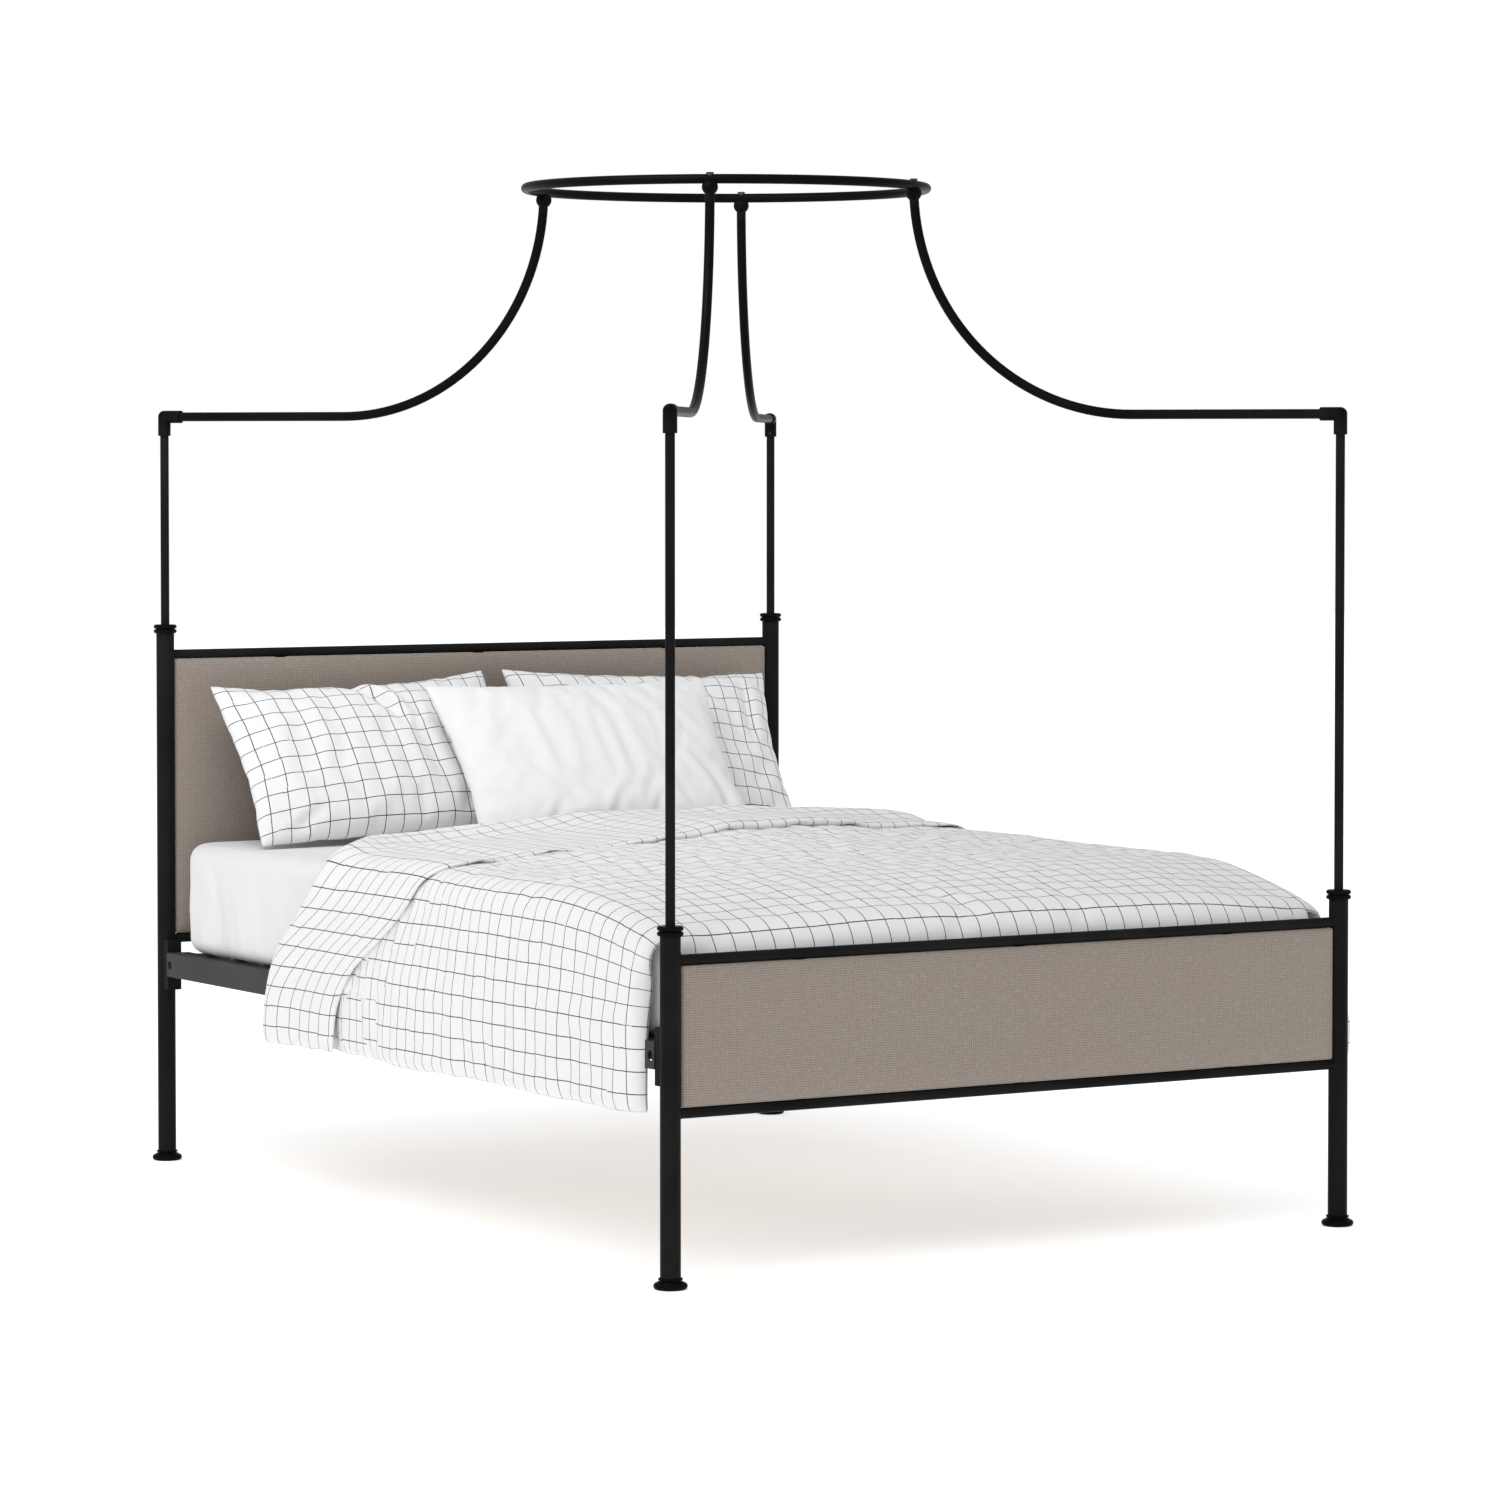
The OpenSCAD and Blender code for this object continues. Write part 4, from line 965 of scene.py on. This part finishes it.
def makeDuvet():
    d = duvet
    us = np.linspace(-d["halfWidth"], d["halfWidth"], int(2 * d["halfWidth"] / d["step"]) + 1)
    footAt = duvetHead + 0.45 - d["footFrom"]
    clothLength = footAt + d["footRadius"] * math.pi / 2 + d["tuckLength"]
    vs = np.linspace(0, clothLength, int(d["length"] / d["step"]) + 1)
    cu, cv = np.meshgrid((us[1:] + us[:-1]) / 2, (vs[1:] + vs[:-1]) / 2, indexing="ij")
    keep = ((np.abs(cu) < d["cutAt"]) | (cv < footAt + d["drapePast"])).astype(int)
    piece, layer = quilt("duvet_quilt", us, vs, keep, duvetShape, 0.03)
    points = pointsOf(piece)
    normals = normalsOf(piece)
    outer = layer < 0.9
    onTop = smooth(0.55, 0.68, points[:, 2])
    nearFold = np.exp(-((points[:, 1] - 0.22) / 0.36) ** 2) * onTop
    side = 1 - onTop
    # long soft folds that run from the band towards the foot, and fall down the sides
    fan = np.stack([points[:, 0] * 1.0 + 0.25 * points[:, 1], points[:, 1] * 0.33, points[:, 2] * 0.4], axis=1)
    # on top every layer rises and falls together, so the band stays down on the cloth below it
    plan, fan = points * [1, 1, 0], fan * [1, 1, 0]
    puff = noiseAt(plan, 0.30, 11) * (0.0035 + 0.004 * nearFold)
    folds = noiseAt(fan, 0.14, 12) * (0.0010 + 0.0090 * nearFold)
    small = noiseAt(fan * [1, 1.5, 1], 0.065, 13) * (0.0003 + 0.0022 * nearFold)
    points[:, 2] += (puff + folds + small + 0.003) * onTop
    low = smooth(0.46, 0.31, points[:, 2])
    drape = noiseAt(points * [0, 1, 0.22], 0.075, 14) * (0.0016 + 0.006 * low) * side
    cross = noiseAt(points * [0, 0.5, 1.6], 0.07, 15) * 0.0016 * side
    amount = (puff * side + drape + cross) * np.where(outer, 1.0, 0.1)
    setPoints(piece, points + normals * amount[:, None])
    settle(piece, duvetCloth, np.where(outer, 0.2, 1.0))
    points, cloth = pointsOf(piece), clothOf(piece)
    rows = []
    for side in (-1, 1):
        at = side * us[-2]
        row = (np.abs(cloth[:, 0] - at) < 0.004) & (layer == 0)
        rows.append((points[row][np.argsort(cloth[row, 1])], False))
    band = (np.abs(cloth[:, 1] - vs[1]) < 0.004) & (layer == 1)
    rows.append((points[band][np.argsort(cloth[band, 0])], False))
    subdivide(piece, 1)
    bakeModifiers(piece)
    dress(piece, "grid_cotton", "duvet", "duvet")
    sewAlong("duvet_stitches", piece, rows, "plain_cotton", "duvet")


makeDuvet()
print("duvet made")


studio = {
    "floorSize": 30.0, "floorGlow": 0.52, "sky": 0.56,
    "sun": 0.76, "sunSize": 34, "sunFrom": (-0.55, -0.50, 0.80),
    "boxes": {  # place, aim, size and watts
        "sideBox": ((-3.4, -2.6, 2.3), (0, 0, 0.7), (0.5, 2.6), 8),
        "headBox": ((-1.3, -0.2, 3.0), (0.0, 1.05, 0.80), (1.6, 0.8), 24)},
}


def makeFloor():
    r = studio["floorSize"]
    floor = makePiece("floor", [(-r, -r, 0), (r, -r, 0), (r, r, 0), (-r, r, 0)], [(0, 1, 2, 3)])
    material, tree, shader, coords = newMaterial("paleFloor", 0.9)
    speck = noiseNode(tree, coords.outputs["Object"], 3.0, 3.0)
    pale = mixColour(tree, speck, (0.93, 0.93, 0.93, 1), (0.95, 0.95, 0.95, 1))
    tree.links.new(pale, shader.inputs["Base Color"])
    shader.inputs["Specular IOR Level"].default_value = 0.0
    shader.inputs["Emission Color"].default_value = (1, 1, 1, 1)
    shader.inputs["Emission Strength"].default_value = studio["floorGlow"]
    floor.data.materials.append(material)


def softBox(name, place, aim, size, power):
    light = bpy.data.lights.new(name, "AREA")
    light.shape = "RECTANGLE"
    light.size, light.size_y = size
    light.energy = power
    lamp = bpy.data.objects.new(name, light)
    lamp.location = place
    lamp.rotation_euler = (Vector(aim) - Vector(place)).to_track_quat("-Z", "Y").to_euler()
    world.collection.objects.link(lamp)


def makeLight():
    sky = bpy.data.worlds.new("studio")
    sky.use_nodes = True
    tree = sky.node_tree
    background = tree.nodes["Background"]
    background.inputs["Color"].default_value = (1, 1, 1, 1)
    # the backdrop itself is pure white, and the light it gives is softer
    ray = tree.nodes.new("ShaderNodeLightPath")
    strength = mathNode(tree, "MULTIPLY_ADD", ray.outputs["Is Camera Ray"], 1.0 - studio["sky"], studio["sky"])
    tree.links.new(strength, background.inputs["Strength"])
    world.world = sky
    light = bpy.data.lights.new("softSun", "SUN")
    light.energy = studio["sun"]
    light.angle = math.radians(studio["sunSize"])
    sun = bpy.data.objects.new("softSun", light)
    sun.rotation_euler = (-Vector(studio["sunFrom"])).to_track_quat("-Z", "Y").to_euler()
    world.collection.objects.link(sun)
    for name, values in studio["boxes"].items():
        softBox(name, *values)


view = {"place": (-5.69925, -9.3051, 1.50762), "azimuth": -31.809, "lens": 129.16, "tilt": 2.073,
        "shift": (-0.0043, -0.07)}


def makeCamera():
    data = bpy.data.cameras.new("camera")
    data.sensor_width = 36
    data.lens = view["lens"]
    data.shift_x, data.shift_y = view["shift"]
    data.clip_end = 60
    camera = bpy.data.objects.new("camera", data)
    camera.location = view["place"]
    camera.rotation_euler = (math.radians(90 - view["tilt"]), 0, math.radians(view["azimuth"]))
    world.collection.objects.link(camera)
    world.camera = camera


makeFloor()
makeLight()
makeCamera()
world.view_settings.view_transform = "Standard"
print("stage set")
